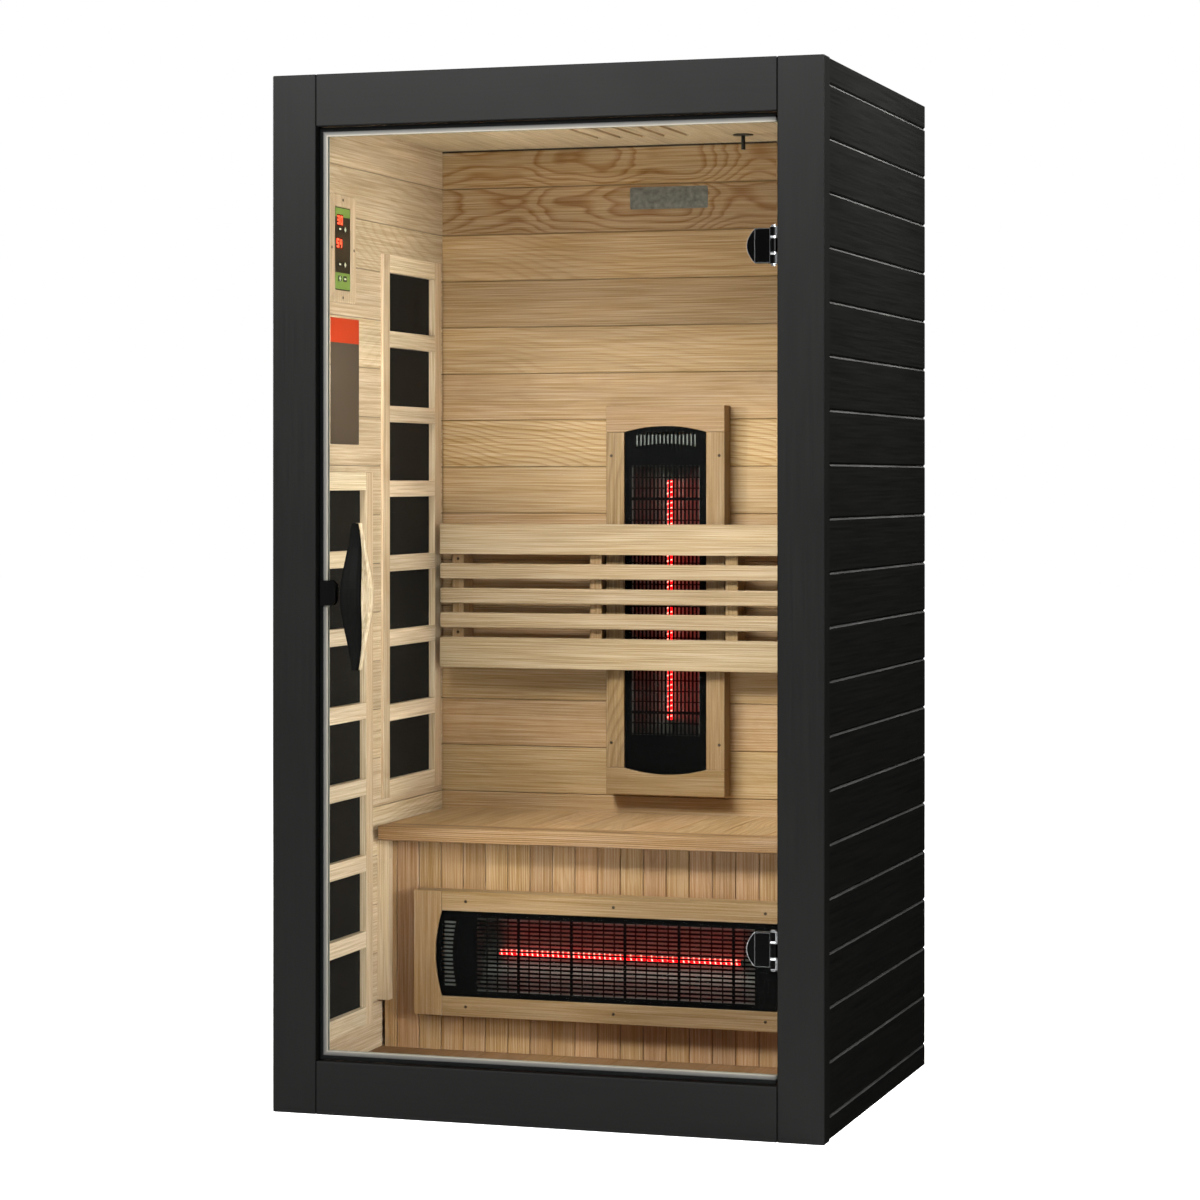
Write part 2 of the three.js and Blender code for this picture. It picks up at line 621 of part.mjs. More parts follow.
// A heater is described along its length u, across its width v and by its depth from the face of its frame
function heater(name, face, sizes, vertical) {
  const at = vertical ? (u, v) => [v, sizes.height + u] : (u, v) => [u, sizes.height + v];
  const along = vertical
    ? (profile, low, high) => prism('xy', profile.map(([v, d]) => [v, face + d]), sizes.height + low, sizes.height + high)
    : (profile, low, high) => prism('yz', profile.map(([v, d]) => [face + d, sizes.height + v]), low, high);
  const bar = vertical
    ? (depth, radius, low, high) => rod('z', [0, face + depth], radius, sizes.height + low, sizes.height + high, 16)
    : (depth, radius, low, high) => rod('x', [face + depth, sizes.height], radius, low, high, 16);
  const ventEnd = vertical ? 1 : -1;
  const archAt = (v) => sizes.openingLength / 2 + sizes.arch * (1 - (2 * v / sizes.openingWidth) ** 2);

  // Straight sides and an arch at each end, drawn in by a margin
  const opening = (margin) => {
    const half = sizes.openingWidth / 2 - margin;
    const steps = 10;
    const across = Array.from({ length: steps + 1 }, (_, step) => half - 2 * half * step / steps);
    const near = across.map((v) => at(archAt(v) - margin, v));
    const far = across.map((v) => at(margin - archAt(v), -v));
    return [...near, ...far];
  };
  const outer = rectangle(around(0, sizes.length), around(0, sizes.width)).map(([u, v]) => at(u, v));
  const frame = prism('xz', outer, face, face + heaterDepth - seatGap, [opening(0)], heaterFrameEdge);
  place(cabin, `${name}_heater_frame`, frame, softwood);

  const meshHoles = [];
  const stepLong = (sizes.grilleLength + grilleBar) / sizes.gapsLong;
  const stepShort = (sizes.grilleWidth + grilleBar) / sizes.gapsShort;
  for (let column = 0; column < sizes.gapsLong; column += 1) {
    const u = -sizes.grilleLength / 2 + column * stepLong;
    for (let row = 0; row < sizes.gapsShort; row += 1) {
      const v = -sizes.grilleWidth / 2 + row * stepShort;
      const gap = rectangle([u, u + stepLong - grilleBar], [v, v + stepShort - grilleBar]);
      meshHoles.push(gap.map((corner) => at(...corner)));
    }
  }
  const vents = Array.from({ length: heaterVents }, (_, vent) => {
    const v = (vent - (heaterVents - 1) / 2) * heaterVentPitch;
    const tip = archAt(v) - heaterVentRim;
    const root = sizes.openingLength / 2 - heaterVentLength;
    return rectangle([root, tip], around(v, heaterVentWidth)).map(([u, w]) => at(ventEnd * u, w));
  });
  const grilleFace = face + grilleSetback;
  const sheet = prism('xz', opening(grilleClearance), grilleFace, grilleFace + grilleThickness);
  const punches = [...meshHoles, ...vents].map(
    (hole) => prism('xz', hole, grilleFace - 1, grilleFace + grilleThickness + 1));
  place(cabin, `${name}_heater_grille`, cut(sheet, ...punches), blackSteel);

  const rim = grilleSetback + grilleThickness + seatGap;
  const half = troughHalfWidth;
  const steps = 12;
  const hollow = (v) => rim + troughDepth * (1 - (v / half) ** 2);
  const across = Array.from({ length: steps + 1 }, (_, step) => -half + 2 * half * step / steps);
  const inside = across.map((v) => [v, hollow(v)]);
  const outside = across.map((v) => [v, hollow(v) + troughSheet]).reverse();
  const flangeEnd = half + troughFlange;
  const profile = [
    [-flangeEnd, rim + troughSheet], [-flangeEnd, rim], ...inside,
    [flangeEnd, rim], [flangeEnd, rim + troughSheet], ...outside,
  ];
  const endFace = sizes.grilleLength / 2;
  const channel = along(profile, -endFace, endFace);
  const endOutline = across.map((v) => [v, hollow(v) + troughSheet / 2]);
  const ends = [[-endFace, troughSheet - endFace], [endFace - troughSheet, endFace]].map(
    ([low, high]) => along(endOutline, low, high));
  const tubeDepth = grilleSetback + tubeSetback;
  const stubHole = bar(tubeDepth, tubeStubRadius + seatGap, -endFace - 1, endFace + 1);
  place(cabin, `${name}_heater_reflector`, cut(join(channel, ...ends), stubHole), aluminium);

  const glow = tubeGlowLength / 2;
  const capEnd = Math.min(glow + tubeCapLength, endFace - troughSheet - seatGap);
  const tube = join(
    bar(tubeDepth, tubeRadius, -glow - 1, glow + 1),
    bar(tubeDepth, tubeCapRadius, -capEnd, -glow),
    bar(tubeDepth, tubeCapRadius, glow, capEnd),
    bar(tubeDepth, tubeStubRadius, -endFace - tubeStubLength, endFace + tubeStubLength),
  );
  place(cabin, `${name}_heater_tube`, tube, quartz);
}

function heaters() {
  heater('back', backInner - heaterDepth, {
    height: backHeaterHeight,
    length: backHeaterLength,
    width: backHeaterWidth,
    openingLength: backOpeningLength,
    openingWidth: backOpeningWidth,
    arch: backOpeningArch,
    grilleLength: backGrilleLength,
    grilleWidth: backGrilleWidth,
    gapsLong: grilleGapsLong,
    gapsShort: grilleGapsShort,
  }, true);
  heater('calf', benchPanelFace - heaterDepth, {
    height: calfHeaterHeight,
    length: calfHeaterLength,
    width: calfHeaterWidth,
    openingLength: calfOpeningLength,
    openingWidth: calfOpeningWidth,
    arch: calfOpeningArch,
    grilleLength: calfGrilleLength,
    grilleWidth: calfGrilleWidth,
    gapsLong: grilleGapsLong,
    gapsShort: grilleGapsShort,
  }, false);
}

// Control panel: a wooden bezel round a display with six keys that press in towards the wall
function controls() {
  const back = -(sideInner - seatGap);
  const bezelFace = bezelProud - sideInner;
  const displayFace = bezelFace - displaySetback;
  const displayY = around(controlY, displayWidth);
  const displayZ = around(controlZ, displayHeight);
  const bezelOutline = roundedRectangle(around(controlY, bezelWidth), around(controlZ, bezelHeight), bezelCorner);
  const window = rectangle(grown(displayY, displayFit), grown(displayZ, displayFit));
  place(cabin, 'control_bezel', prism('yz', bezelOutline, back, bezelFace, [window], bezelEdge), softwood);

  const pocketFloor = displayFace - keyPocketDepth;
  const keyBack = pocketFloor + keyTravel + keyFit;
  const rows = { timer: upperKeyRow, heat: middleKeyRow, main: lowerKeyRow };
  const keys = [
    ['timer_down_key', rows.timer, -1], ['timer_up_key', rows.timer, 1],
    ['heat_down_key', rows.heat, -1], ['heat_up_key', rows.heat, 1],
    ['power_key', rows.main, -1], ['light_key', rows.main, 1],
  ];
  const pockets = [];
  for (const [name, row, column] of keys) {
    const y = around(controlY + keyColumnShift + column * keyColumnOffset, keyWidth);
    const z = around(controlZ + row, keyHeight);
    pockets.push(prism(
      'yz', roundedRectangle(grown(y, keyFit), grown(z, keyFit), keyCorner + keyFit), pocketFloor, displayFace + 1));
    place(cabin, name, prism('yz', roundedRectangle(y, z, keyCorner), keyBack, displayFace + keyProud), keyPlastic);
  }
  const overlay = prism('yz', roundedRectangle(displayY, displayZ, displayCorner), back, displayFace);
  place(cabin, 'control_panel', cut(overlay, ...pockets), plastic);
}

// Glass door on two hinges, with a clear seal on its three free edges
const clampX = hingeX - clampBoltInset;
const handleBoltZ = around(handleHeight, handleLength - 2 * handleBoltInset);
const catchBoltX = glassLeft + sealLip + catchBoltBeyondSeal;
const hingeHeights = [['upper', glassTop - upperHingeBelowGlassTop], ['lower', lowerHingeHeight]];

function glassDoor() {
  const pane = block([glassLeft, glassRight], [glassFront, glassBack], [glassBottom, glassTop], glassEdge);
  const through = grown([glassFront, glassBack], 1);
  const hole = (x, z, radius) => rod('y', [x, z], radius + boltClearance, ...through, 12);
  const handleHoles = handleBoltZ.map((z) => hole(handleX, z, handleBoltRadius));
  const clampHoles = hingeHeights.flatMap(([, height]) => around(height, clampBoltSpacing).map(
    (z) => hole(clampX, z, clampBoltRadius)));
  const catchHole = hole(catchBoltX, catchHeight, catchBoltRadius);
  place(door, 'door_glass', cut(pane, ...handleHoles, ...clampHoles, catchHole), glass);

  const sealY = grown([glassFront, glassBack], seatGap + sealWall);
  const outerX = [glassLeft - seatGap - sealBase, glassRight - sealEndInset];
  const outerZ = grown([glassBottom, glassTop], seatGap + sealBase);
  const lipX = glassLeft + sealLip;
  const strips = [
    block([outerX[0], lipX], sealY, outerZ),
    block(outerX, sealY, [outerZ[0], glassBottom + sealLip]),
    block(outerX, sealY, [glassTop - sealLip, outerZ[1]]),
  ];
  const slot = block(
    [glassLeft - seatGap, glassRight + 1], grown([glassFront, glassBack], seatGap),
    grown([glassBottom, glassTop], seatGap));
  place(door, 'door_seal', cut(join(...strips), slot), vinyl);
}

// Bow-shaped handles: each one lies on the glass at its ends and stands off in the middle
function handleBody(face, outward) {
  const sections = 18;
  const ringPoints = 10;
  const squareness = 0.75;
  const rings = [];
  for (let section = 0; section <= sections; section += 1) {
    const t = -1 + 2 * section / sections;
    const reach = Math.max(0, 1 - Math.abs(t) / (1 - handlePad));
    const bow = reach * reach * (3 - 2 * reach);
    const leaf = Math.cos(t * Math.PI / 2);
    const width = handleEndWidth + (handleWidth - handleEndWidth) * leaf;
    const thickness = handleEndThickness + (handleThickness - handleEndThickness) * bow;
    const centre = face + outward * (seatGap + handleGrip * bow + thickness / 2);
    const z = handleHeight + t * handleLength / 2;
    rings.push(Array.from({ length: ringPoints }, (_, step) => {
      const angle = 2 * Math.PI * (step + 0.5) / ringPoints;
      const bulge = (value) => Math.sign(value) * Math.abs(value) ** squareness;
      return [
        handleX + bulge(Math.cos(angle)) * width / 2,
        centre + bulge(Math.sin(angle)) * thickness / 2,
        z,
      ];
    }));
  }
  return loft(rings);
}

function handles() {
  const boltSpan = [glassFront - handleEndThickness / 2, glassBack + seatGap + handleBoltDepth - seatGap];
  const bolts = handleBoltZ.map((z) => rod('y', [handleX, z], handleBoltRadius, ...boltSpan, 16));
  place(door, 'handle_outer', join(handleBody(glassFront, -1), ...bolts), glossBlack);
  const sockets = handleBoltZ.map((z) => rod(
    'y', [handleX, z], handleBoltRadius + boltClearance, glassBack, glassBack + seatGap + handleBoltDepth, 16));
  place(door, 'handle_inner', cut(handleBody(glassBack, 1), ...sockets), softwood);
}

// Catch: a plate on each side of the glass, held by one bolt, and a magnet behind it on the stile
function doorCatch() {
  const standOff = seatGap + sealWall + seatGap;
  const plateX = [glassLeft, glassLeft + catchWidth];
  const plateZ = around(catchHeight, catchLength);
  const outline = [
    [plateX[0], plateZ[0]], [plateX[1] - catchChamfer, plateZ[0]], [plateX[1], plateZ[0] + catchChamfer],
    [plateX[1], plateZ[1] - catchChamfer], [plateX[1] - catchChamfer, plateZ[1]], [plateX[0], plateZ[1]],
  ];
  const frontPlate = [glassFront - standOff - catchPlate, glassFront - standOff];
  const backPlate = [glassBack + standOff, glassBack + standOff + catchPlate];
  const boltAt = [catchBoltX, catchHeight];
  const clip = join(
    prism('xz', outline, ...frontPlate),
    prism('xz', outline, ...backPlate),
    rod('y', boltAt, catchBoltRadius, frontPlate[1] - 1, backPlate[0] + 1, 16),
    rod('y', boltAt, catchBoltBeyondSeal - seatGap, frontPlate[1] - 1, glassFront - seatGap),
    rod('y', boltAt, catchBoltBeyondSeal - seatGap, glassBack + seatGap, backPlate[0] + 1),
  );
  place(door, 'catch_clip', clip, glossBlack);

  const magnetY = [backPlate[1] + seatGap, backPlate[1] + seatGap + magnetDepth];
  const magnetX = [-doorwayHalf + seatGap, -doorwayHalf + seatGap + magnetWidth];
  place(cabin, 'catch_magnet', block(magnetX, magnetY, around(catchHeight, magnetLength), frameEdge), plastic);
}

// Hinges: a clamp on the glass and a leaf on the stile, with the pin held in the leaf
function hinges() {
  const axis = [hingeX, hingeY];
  const holeRadius = pinRadius + seatGap;
  for (const [name, height] of hingeHeights) {
    const whole = around(height, hingeHeight);
    const middle = around(height, middleKnuckle);
    const bore = rod('z', axis, holeRadius, whole[0] - 1, whole[1] + 1);

    const clampEnd = hingeX - seatGap;
    const clampStart = clampEnd - clampWidth;
    const clampZ = around(height, clampHeight);
    const steps = 12;
    const nose = Array.from({ length: steps + 1 }, (_, step) => {
      const v = 1 - 2 * step / steps;
      return [clampStart + clampNose * v * v, height + v * clampHeight / 2];
    });
    const outline = [[clampEnd, clampZ[0]], [clampEnd, clampZ[1]], ...nose];
    const frontPlate = [glassFront - seatGap - clampPlate, glassFront - seatGap];
    const backPlate = [glassBack + seatGap, glassBack + seatGap + clampPlate];
    const blockEnd = clampEnd - clampBlockInset;
    const clamp = join(
      prism('xz', outline, ...frontPlate),
      prism('xz', outline, ...backPlate),
      block([blockEnd - clampBlockWidth, blockEnd], [frontPlate[0] - clampBlockRise, frontPlate[1] - 1], clampZ, 1),
      ...around(height, clampBoltSpacing).map(
        (z) => rod('y', [clampX, z], clampBoltRadius, frontPlate[1] - 1, backPlate[0] + 1, 16)),
    );
    const clear = rod('z', axis, knuckleRadius + knuckleGap, whole[0] - 1, whole[1] + 1);
    const turning = rod('z', axis, knuckleRadius, ...grown(middle, -knuckleGap / 2));
    const arm = block(
      [hingeX - knuckleRadius, hingeX], [hingeY, frontPlate[1]], grown(middle, -knuckleGap / 2));
    place(door, `${name}_hinge_clamp`, cut(join(cut(clamp, clear), turning, arm), bore), glossBlack);

    const leafX = [doorwayHalf - seatGap - leafThickness, doorwayHalf - seatGap];
    const plate = block(leafX, [frontFace + seatGap, frontFace + seatGap + leafDepth], whole);
    const notch = block(grown(leafX, 1), [frontFace - 1, hingeY + knuckleRadius + knuckleGap], grown(middle, knuckleGap));
    const knuckles = [[whole[0], middle[0] - knuckleGap / 2], [middle[1] + knuckleGap / 2, whole[1]]].map(
      ([low, high]) => rod('z', axis, knuckleRadius, low, high));
    place(cabin, `${name}_hinge_leaf`, cut(join(cut(plate, notch), ...knuckles), bore), glossBlack);

    const pin = join(
      rod('z', axis, pinRadius, whole[0] - seatGap - 1, whole[1] + seatGap + 1),
      rod('z', axis, pinHeadRadius, whole[0] - seatGap - pinHeadHeight, whole[0] - seatGap),
      rod('z', axis, pinHeadRadius, whole[1] + seatGap, whole[1] + seatGap + pinHeadHeight),
    );
    place(cabin, `${name}_hinge_pin`, pin, glossBlack);
  }
}

frontFrame();
claddings();
linings();
floorAndRoof();
carbonPanels();
bench();
backrest();
heaters();
controls();
glassDoor();
handles();
doorCatch();
hinges();

export default cabin;
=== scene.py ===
# %% [markdown]
# A one-person infrared sauna cabin: black painted boards outside, pale softwood inside, a glass door,
# and red glowing heaters behind wire grilles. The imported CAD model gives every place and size, so it is
# loaded first and never moved. Everything below either dresses a CAD node or stands in for one.

# %% Load the frame
import math
import bmesh
import bpy
from mathutils import Matrix, Vector


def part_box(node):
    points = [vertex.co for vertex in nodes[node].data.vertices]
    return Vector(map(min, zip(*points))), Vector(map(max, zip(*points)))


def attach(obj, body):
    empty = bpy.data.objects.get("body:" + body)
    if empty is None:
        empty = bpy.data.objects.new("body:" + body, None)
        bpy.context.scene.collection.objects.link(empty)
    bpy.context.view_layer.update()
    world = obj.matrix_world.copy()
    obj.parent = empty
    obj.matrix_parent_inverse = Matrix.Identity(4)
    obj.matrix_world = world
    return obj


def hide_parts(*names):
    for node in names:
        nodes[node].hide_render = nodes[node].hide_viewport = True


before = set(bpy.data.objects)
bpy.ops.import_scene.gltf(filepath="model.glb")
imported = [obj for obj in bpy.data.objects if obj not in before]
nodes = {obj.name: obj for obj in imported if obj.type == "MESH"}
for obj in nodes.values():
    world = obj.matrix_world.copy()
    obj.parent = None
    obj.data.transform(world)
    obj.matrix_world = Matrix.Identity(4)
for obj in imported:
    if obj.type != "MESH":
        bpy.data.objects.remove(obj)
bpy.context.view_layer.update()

MM = 0.001

# %% [markdown]
# The camera stands to the right of the cabin and a little above the door handle. It looks level, so that
# upright edges stay upright, and a vertical shift lowers the frame instead of a tilt. The lens comes from
# how fast the cabin's level edges draw together.

# %% Camera
CAMERA_PLACE = (1.9056, -6.0787, 1.1548)
CAMERA_TURN = math.radians(17.626)
CAMERA_LENS = 100.08
SENSOR_WIDTH = 36
FRAME_SHIFT = -0.0982

lens = bpy.data.cameras.new("studio_camera")
lens.lens = CAMERA_LENS
lens.sensor_width = SENSOR_WIDTH
lens.shift_y = FRAME_SHIFT
camera = bpy.data.objects.new("studio_camera", lens)
camera.location = CAMERA_PLACE
camera.rotation_euler = (math.radians(90), 0, CAMERA_TURN)
bpy.context.scene.collection.objects.link(camera)
bpy.context.scene.camera = camera
bpy.context.scene.view_settings.view_transform = "Standard"
print("camera at", tuple(round(value, 3) for value in camera.location))

# %% [markdown]
# Three small helpers serve every finish. Colours are written as sRGB hex codes, as a colour chart gives
# them, and one function turns them to the linear numbers that shaders work with. One adds a node: its
# inputs take either a plain value or the output of another node. The last opens an empty material.

# %% Colour and node helpers
def linear(code):
    parts = [int(code[at:at + 2], 16) / 255 for at in (0, 2, 4)]
    return [p / 12.92 if p <= 0.04045 else ((p + 0.055) / 1.055) ** 2.4 for p in parts] + [1.0]


def add(tree, kind, inputs=None, **settings):
    made = tree.nodes.new(kind)
    for name, value in settings.items():
        setattr(made, name, value)
    for socket, value in (inputs or {}).items():
        if isinstance(value, bpy.types.NodeSocket):
            tree.links.new(value, made.inputs[socket])
        else:
            made.inputs[socket].default_value = value
    return made


def begin(name):
    material = bpy.data.materials.new(name)
    material.use_nodes = True
    material.node_tree.nodes.clear()
    return material, material.node_tree


print("wood tone b1926a is", [round(value, 3) for value in linear("b1926a")])

# %% [markdown]
# The studio is a pale floor under a white world. The camera, mirrors and glass see the world as plain
# white, while it gives the object only a low fill. The Light Path node tells which kind of ray is looking,
# and the floor asks the same question, so one function answers it for both.

# %% White world
WORLD_FILL = 0.06
WHITE = "ffffff"


def studio_rays(tree):
    rays = add(tree, "ShaderNodeLightPath").outputs
    shiny = add(tree, "ShaderNodeMath", {0: rays["Is Glossy Ray"], 1: rays["Is Transmission Ray"]},
                operation="MAXIMUM")
    seen = add(tree, "ShaderNodeMath", {0: rays["Is Camera Ray"], 1: shiny.outputs[0]}, operation="MAXIMUM")
    return seen.outputs[0]


world = bpy.data.worlds.new("studio_world")
bpy.context.scene.world = world
world.use_nodes = True
sky = world.node_tree
sky.nodes.clear()
fill = add(sky, "ShaderNodeBackground", {"Color": linear(WHITE), "Strength": WORLD_FILL})
white = add(sky, "ShaderNodeBackground", {"Color": linear(WHITE), "Strength": 1.0})
both = add(sky, "ShaderNodeMixShader", {0: studio_rays(sky), 1: fill.outputs[0], 2: white.outputs[0]})
add(sky, "ShaderNodeOutputWorld", {"Surface": both.outputs[0]})
print("world fill:", WORLD_FILL)

# %% [markdown]
# The floor is matt white paint. It keeps the cabin's shadow, and for the rays that look at it a little
# light of its own lifts it to white. That lift grows with the distance from the cabin, because the lamps
# reach the far floor less, and so the floor meets the white world without a line.

# %% Floor
FLOOR_SIZE = 60
FLOOR_DROP = 0.5 * MM
FLOOR_LIFT = 0.9
FAR_LIFT = 1.0
NEAR_FLOOR = 2.0
FAR_FLOOR = 9.0

floor_paint, tree = begin("floor_matt_white_paint")
spot = add(tree, "ShaderNodeNewGeometry")
away = add(tree, "ShaderNodeVectorMath", {0: spot.outputs["Position"]}, operation="LENGTH")
level = add(tree, "ShaderNodeMapRange", {0: away.outputs["Value"], 1: NEAR_FLOOR, 2: FAR_FLOOR,
                                         3: FLOOR_LIFT, 4: FAR_LIFT})
lift = add(tree, "ShaderNodeMath", {0: studio_rays(tree), 1: level.outputs[0]}, operation="MULTIPLY")
matt = add(tree, "ShaderNodeBsdfDiffuse", {"Color": linear("ececec")})
glow = add(tree, "ShaderNodeEmission", {"Color": linear(WHITE), "Strength": lift.outputs[0]})
floor_look = add(tree, "ShaderNodeAddShader", {0: matt.outputs[0], 1: glow.outputs[0]})
add(tree, "ShaderNodeOutputMaterial", {"Surface": floor_look.outputs[0]})

floor_mesh = bpy.data.meshes.new("studio_floor")
half = FLOOR_SIZE / 2
corners = [(-half, -half, 0), (half, -half, 0), (half, half, 0), (-half, half, 0)]
floor_mesh.from_pydata(corners, [], [(0, 1, 2, 3)])
floor_mesh.materials.append(floor_paint)
studio_floor = bpy.data.objects.new("studio_floor", floor_mesh)
studio_floor.location.z = -FLOOR_DROP
bpy.context.scene.collection.objects.link(studio_floor)
print("floor", FLOOR_SIZE, "m wide")

# %% [markdown]
# Big soft lamps light the cabin from the front, the sides and the back. A cabin is closed on five sides, so
# two small lamps also stand inside, behind the door posts, where a photographer would hide them. They give
# the back heater its shadow. A narrow spread keeps the one on the left from burning out the wall beside it.

# %% Lamps
def lamp(name, place, target, width, height, power, spread=180):
    light = bpy.data.lights.new(name, "AREA")
    light.shape = "RECTANGLE"
    light.size = width
    light.size_y = height
    light.energy = power
    light.spread = math.radians(spread)
    made = bpy.data.objects.new(name, light)
    made.location = place
    made.rotation_euler = (Vector(target) - Vector(place)).to_track_quat("-Z", "Y").to_euler()
    made.visible_camera = False
    made.visible_transmission = False
    bpy.context.scene.collection.objects.link(made)


# Each line: place and target in metres, width and height in metres, power in watts, spread in degrees.
lamp("key_softbox", (-1.0, -2.7, 3.0), (0, -0.4, 1.75), 2.0, 0.7, 210)
lamp("rail_softbox", (-0.3, -1.5, 3.0), (0, -0.4, 1.2), 1.2, 0.6, 35)
lamp("fill_softbox", (4.3, -3.5, 1.6), (-0.3, 0, 1.4), 1.6, 1.8, 360)
lamp("side_softbox", (1.15, 0.0, 2.35), (0.5, 0, 1.75), 0.5, 1.0, 130)
lamp("back_softbox", (0.5, 5.0, 2.6), (0, 0, 1.0), 3.0, 2.6, 90)
lamp("left_softbox", (-4.5, 2.0, 2.4), (0, 0.2, 1.0), 2.0, 2.0, 260)
lamp("left_post_lamp", (-0.44, -0.36, 1.40), (0.10, 0.39, 1.25), 0.04, 0.08, 1.9, 125)
lamp("right_post_lamp", (0.44, -0.36, 1.40), (-0.45, 0.20, 1.0), 0.05, 0.10, 0.4, 120)

# %% [markdown]
# The lining is planed hemlock: pale boards with soft growth rings and a dry, fibrous surface. No two boards
# are alike, so each needs a number of its own. Boards that the CAD holds in one sheet are counted from their
# place on the wall. Loose boards are islands of one mesh, and the Geometry node gives each a random number.

# %% Board numbers
ISLAND_SPREAD = 997.0


def board_number(tree, side, pitch, start):
    if not pitch:
        island = add(tree, "ShaderNodeNewGeometry").outputs["Random Per Island"]
        number = add(tree, "ShaderNodeMath", {0: island, 1: ISLAND_SPREAD}, operation="MULTIPLY")
        return number.outputs[0], side, None
    from_start = add(tree, "ShaderNodeMath", {0: side, 1: start}, operation="SUBTRACT")
    boards = add(tree, "ShaderNodeMath", {0: from_start.outputs[0], 1: pitch}, operation="DIVIDE").outputs[0]
    number = add(tree, "ShaderNodeMath", {0: boards}, operation="FLOOR").outputs[0]
    middle = add(tree, "ShaderNodeMath", {0: number, 1: pitch, 2: start + pitch / 2},
                 operation="MULTIPLY_ADD")
    offset = add(tree, "ShaderNodeMath", {0: side, 1: middle.outputs[0]}, operation="SUBTRACT")
    return number, offset.outputs[0], boards


print("loose boards are numbered up to", ISLAND_SPREAD)

# %% [markdown]
# An image could show growth rings, but they can also be worked out. A log is a set of cylinders, and a sawn
# face cuts them at a distance from the heart that wanders along the board. That draws arches where the heart
# is near and straight lines where it is far. A few showy boards are sawn close to the heart.

# %% Growth rings
RING_WIDTH = 3.6 * MM
HEART_SPREAD = 170 * MM
HEART_DEPTH = (12 * MM, 70 * MM)
HEART_SLOPE = 0.06
WANDER = 16 * MM
WANDER_LENGTH = 1 / 2.2
WANDER_STEP = 7.3
RIPPLE_NUDGE = 6 * MM
SHOWY_OFFSET = 0.12
SHOWY_SLOPE = 0.3
SHOWY_RINGS = 2.2


def on_showy(tree, value, showy, share):
    if showy is None:
        return value
    part = add(tree, "ShaderNodeMapRange", {0: showy, 3: 1.0, 4: share})
    return add(tree, "ShaderNodeMath", {0: value, 1: part.outputs[0]}, operation="MULTIPLY").outputs[0]


def ring_year(tree, mark, chances, run, side, depth, ripple, showy):
    first, second, third = chances
    off = add(tree, "ShaderNodeMapRange", {0: first, 3: -HEART_SPREAD, 4: HEART_SPREAD}).outputs[0]
    off = on_showy(tree, off, showy, SHOWY_OFFSET)
    under = add(tree, "ShaderNodeMapRange", {0: second, 3: HEART_DEPTH[0], 4: HEART_DEPTH[1]})
    slope = add(tree, "ShaderNodeMapRange", {0: third, 3: -HEART_SLOPE, 4: HEART_SLOPE}).outputs[0]
    slope = on_showy(tree, slope, showy, SHOWY_SLOPE)
    shift = add(tree, "ShaderNodeMath", {0: mark, 1: WANDER_STEP}, operation="MULTIPLY")
    spot = add(tree, "ShaderNodeCombineXYZ", {0: run, 1: shift.outputs[0], 2: 0.0})
    wander = add(tree, "ShaderNodeTexNoise", {"Vector": spot.outputs[0], "Scale": 1 / WANDER_LENGTH,
                                              "Detail": 2.0})
    sway = add(tree, "ShaderNodeMapRange", {0: wander.outputs["Fac"], 3: -WANDER, 4: WANDER})
    tilt = add(tree, "ShaderNodeMath", {0: run, 1: slope, 2: under.outputs[0]}, operation="MULTIPLY_ADD")
    below = add(tree, "ShaderNodeMath", {0: tilt.outputs[0], 1: sway.outputs[0]}, operation="ADD")
    height = add(tree, "ShaderNodeMath", {0: below.outputs[0], 1: depth}, operation="ADD")
    beside = add(tree, "ShaderNodeMath", {0: side, 1: off}, operation="ADD")
    arm = add(tree, "ShaderNodeCombineXYZ", {0: beside.outputs[0], 1: height.outputs[0], 2: 0.0})
    radius = add(tree, "ShaderNodeVectorMath", {0: arm.outputs[0]}, operation="LENGTH")
    nudge = add(tree, "ShaderNodeMath", {0: ripple, 1: RIPPLE_NUDGE, 2: radius.outputs["Value"]},
                operation="MULTIPLY_ADD")
    turns = add(tree, "ShaderNodeMath", {0: nudge.outputs[0], 1: RING_WIDTH}, operation="DIVIDE").outputs[0]
    turns = on_showy(tree, turns, showy, SHOWY_RINGS)
    return add(tree, "ShaderNodeMath", {0: turns}, operation="FRACT").outputs[0]


print("a ring every", round(RING_WIDTH / MM, 1), "mm")

# %% [markdown]
# The colour of a board is its pale tone with darker late wood in each ring. Fibres lie over that: they are
# long and thin, so their noise is stretched along the grain. Real fibres are finer than a tenth of a
# millimetre. They are drawn much coarser here, so that they show. Each board also has its own tone, and a
# dark line at its joints.

# %% Softwood finish
FIBRE_WIDTH = 2.4 * MM
FIBRE_LENGTH = 170 * MM
FIBRE_RELIEF = 0.2 * MM
RIPPLE_WIDTH = 45.5 * MM
RIPPLE_LENGTH = 400 * MM
FIBRE_SPAN = (0.28, 0.72)
FIBRE_TONES = (0.68, 1.16)
FIBRE_RICHNESS = (1.2, 0.86)
RIPPLE_TONES = (0.88, 1.07)
BOARD_TONES = (0.86, 1.06)
BOARD_HUES = (0.490, 0.500)
EARLY_WOOD, LATE_WOOD = 0.42, 0.82
SHOWY_FIGURE = 0.75
JOINT_SHADE = 1.3 * MM
JOINT_TONE = 0.42
# Painted shadow under the ceiling: where it starts and ends, and how dark it gets.
CEILING_SHADOW_REACH = (5 * MM, 3 * MM)
CEILING_SHADOW_TONE = 0.06


def long_grain(tree, place, along, width, length, detail):
    scale = [1 / width] * 3
    scale[along] = 1 / length
    stretched = add(tree, "ShaderNodeMapping", {0: place, 3: scale})
    grain = add(tree, "ShaderNodeTexNoise", {"Vector": stretched.outputs[0], "Scale": 1.0, "Detail": detail})
    return grain.outputs["Fac"]


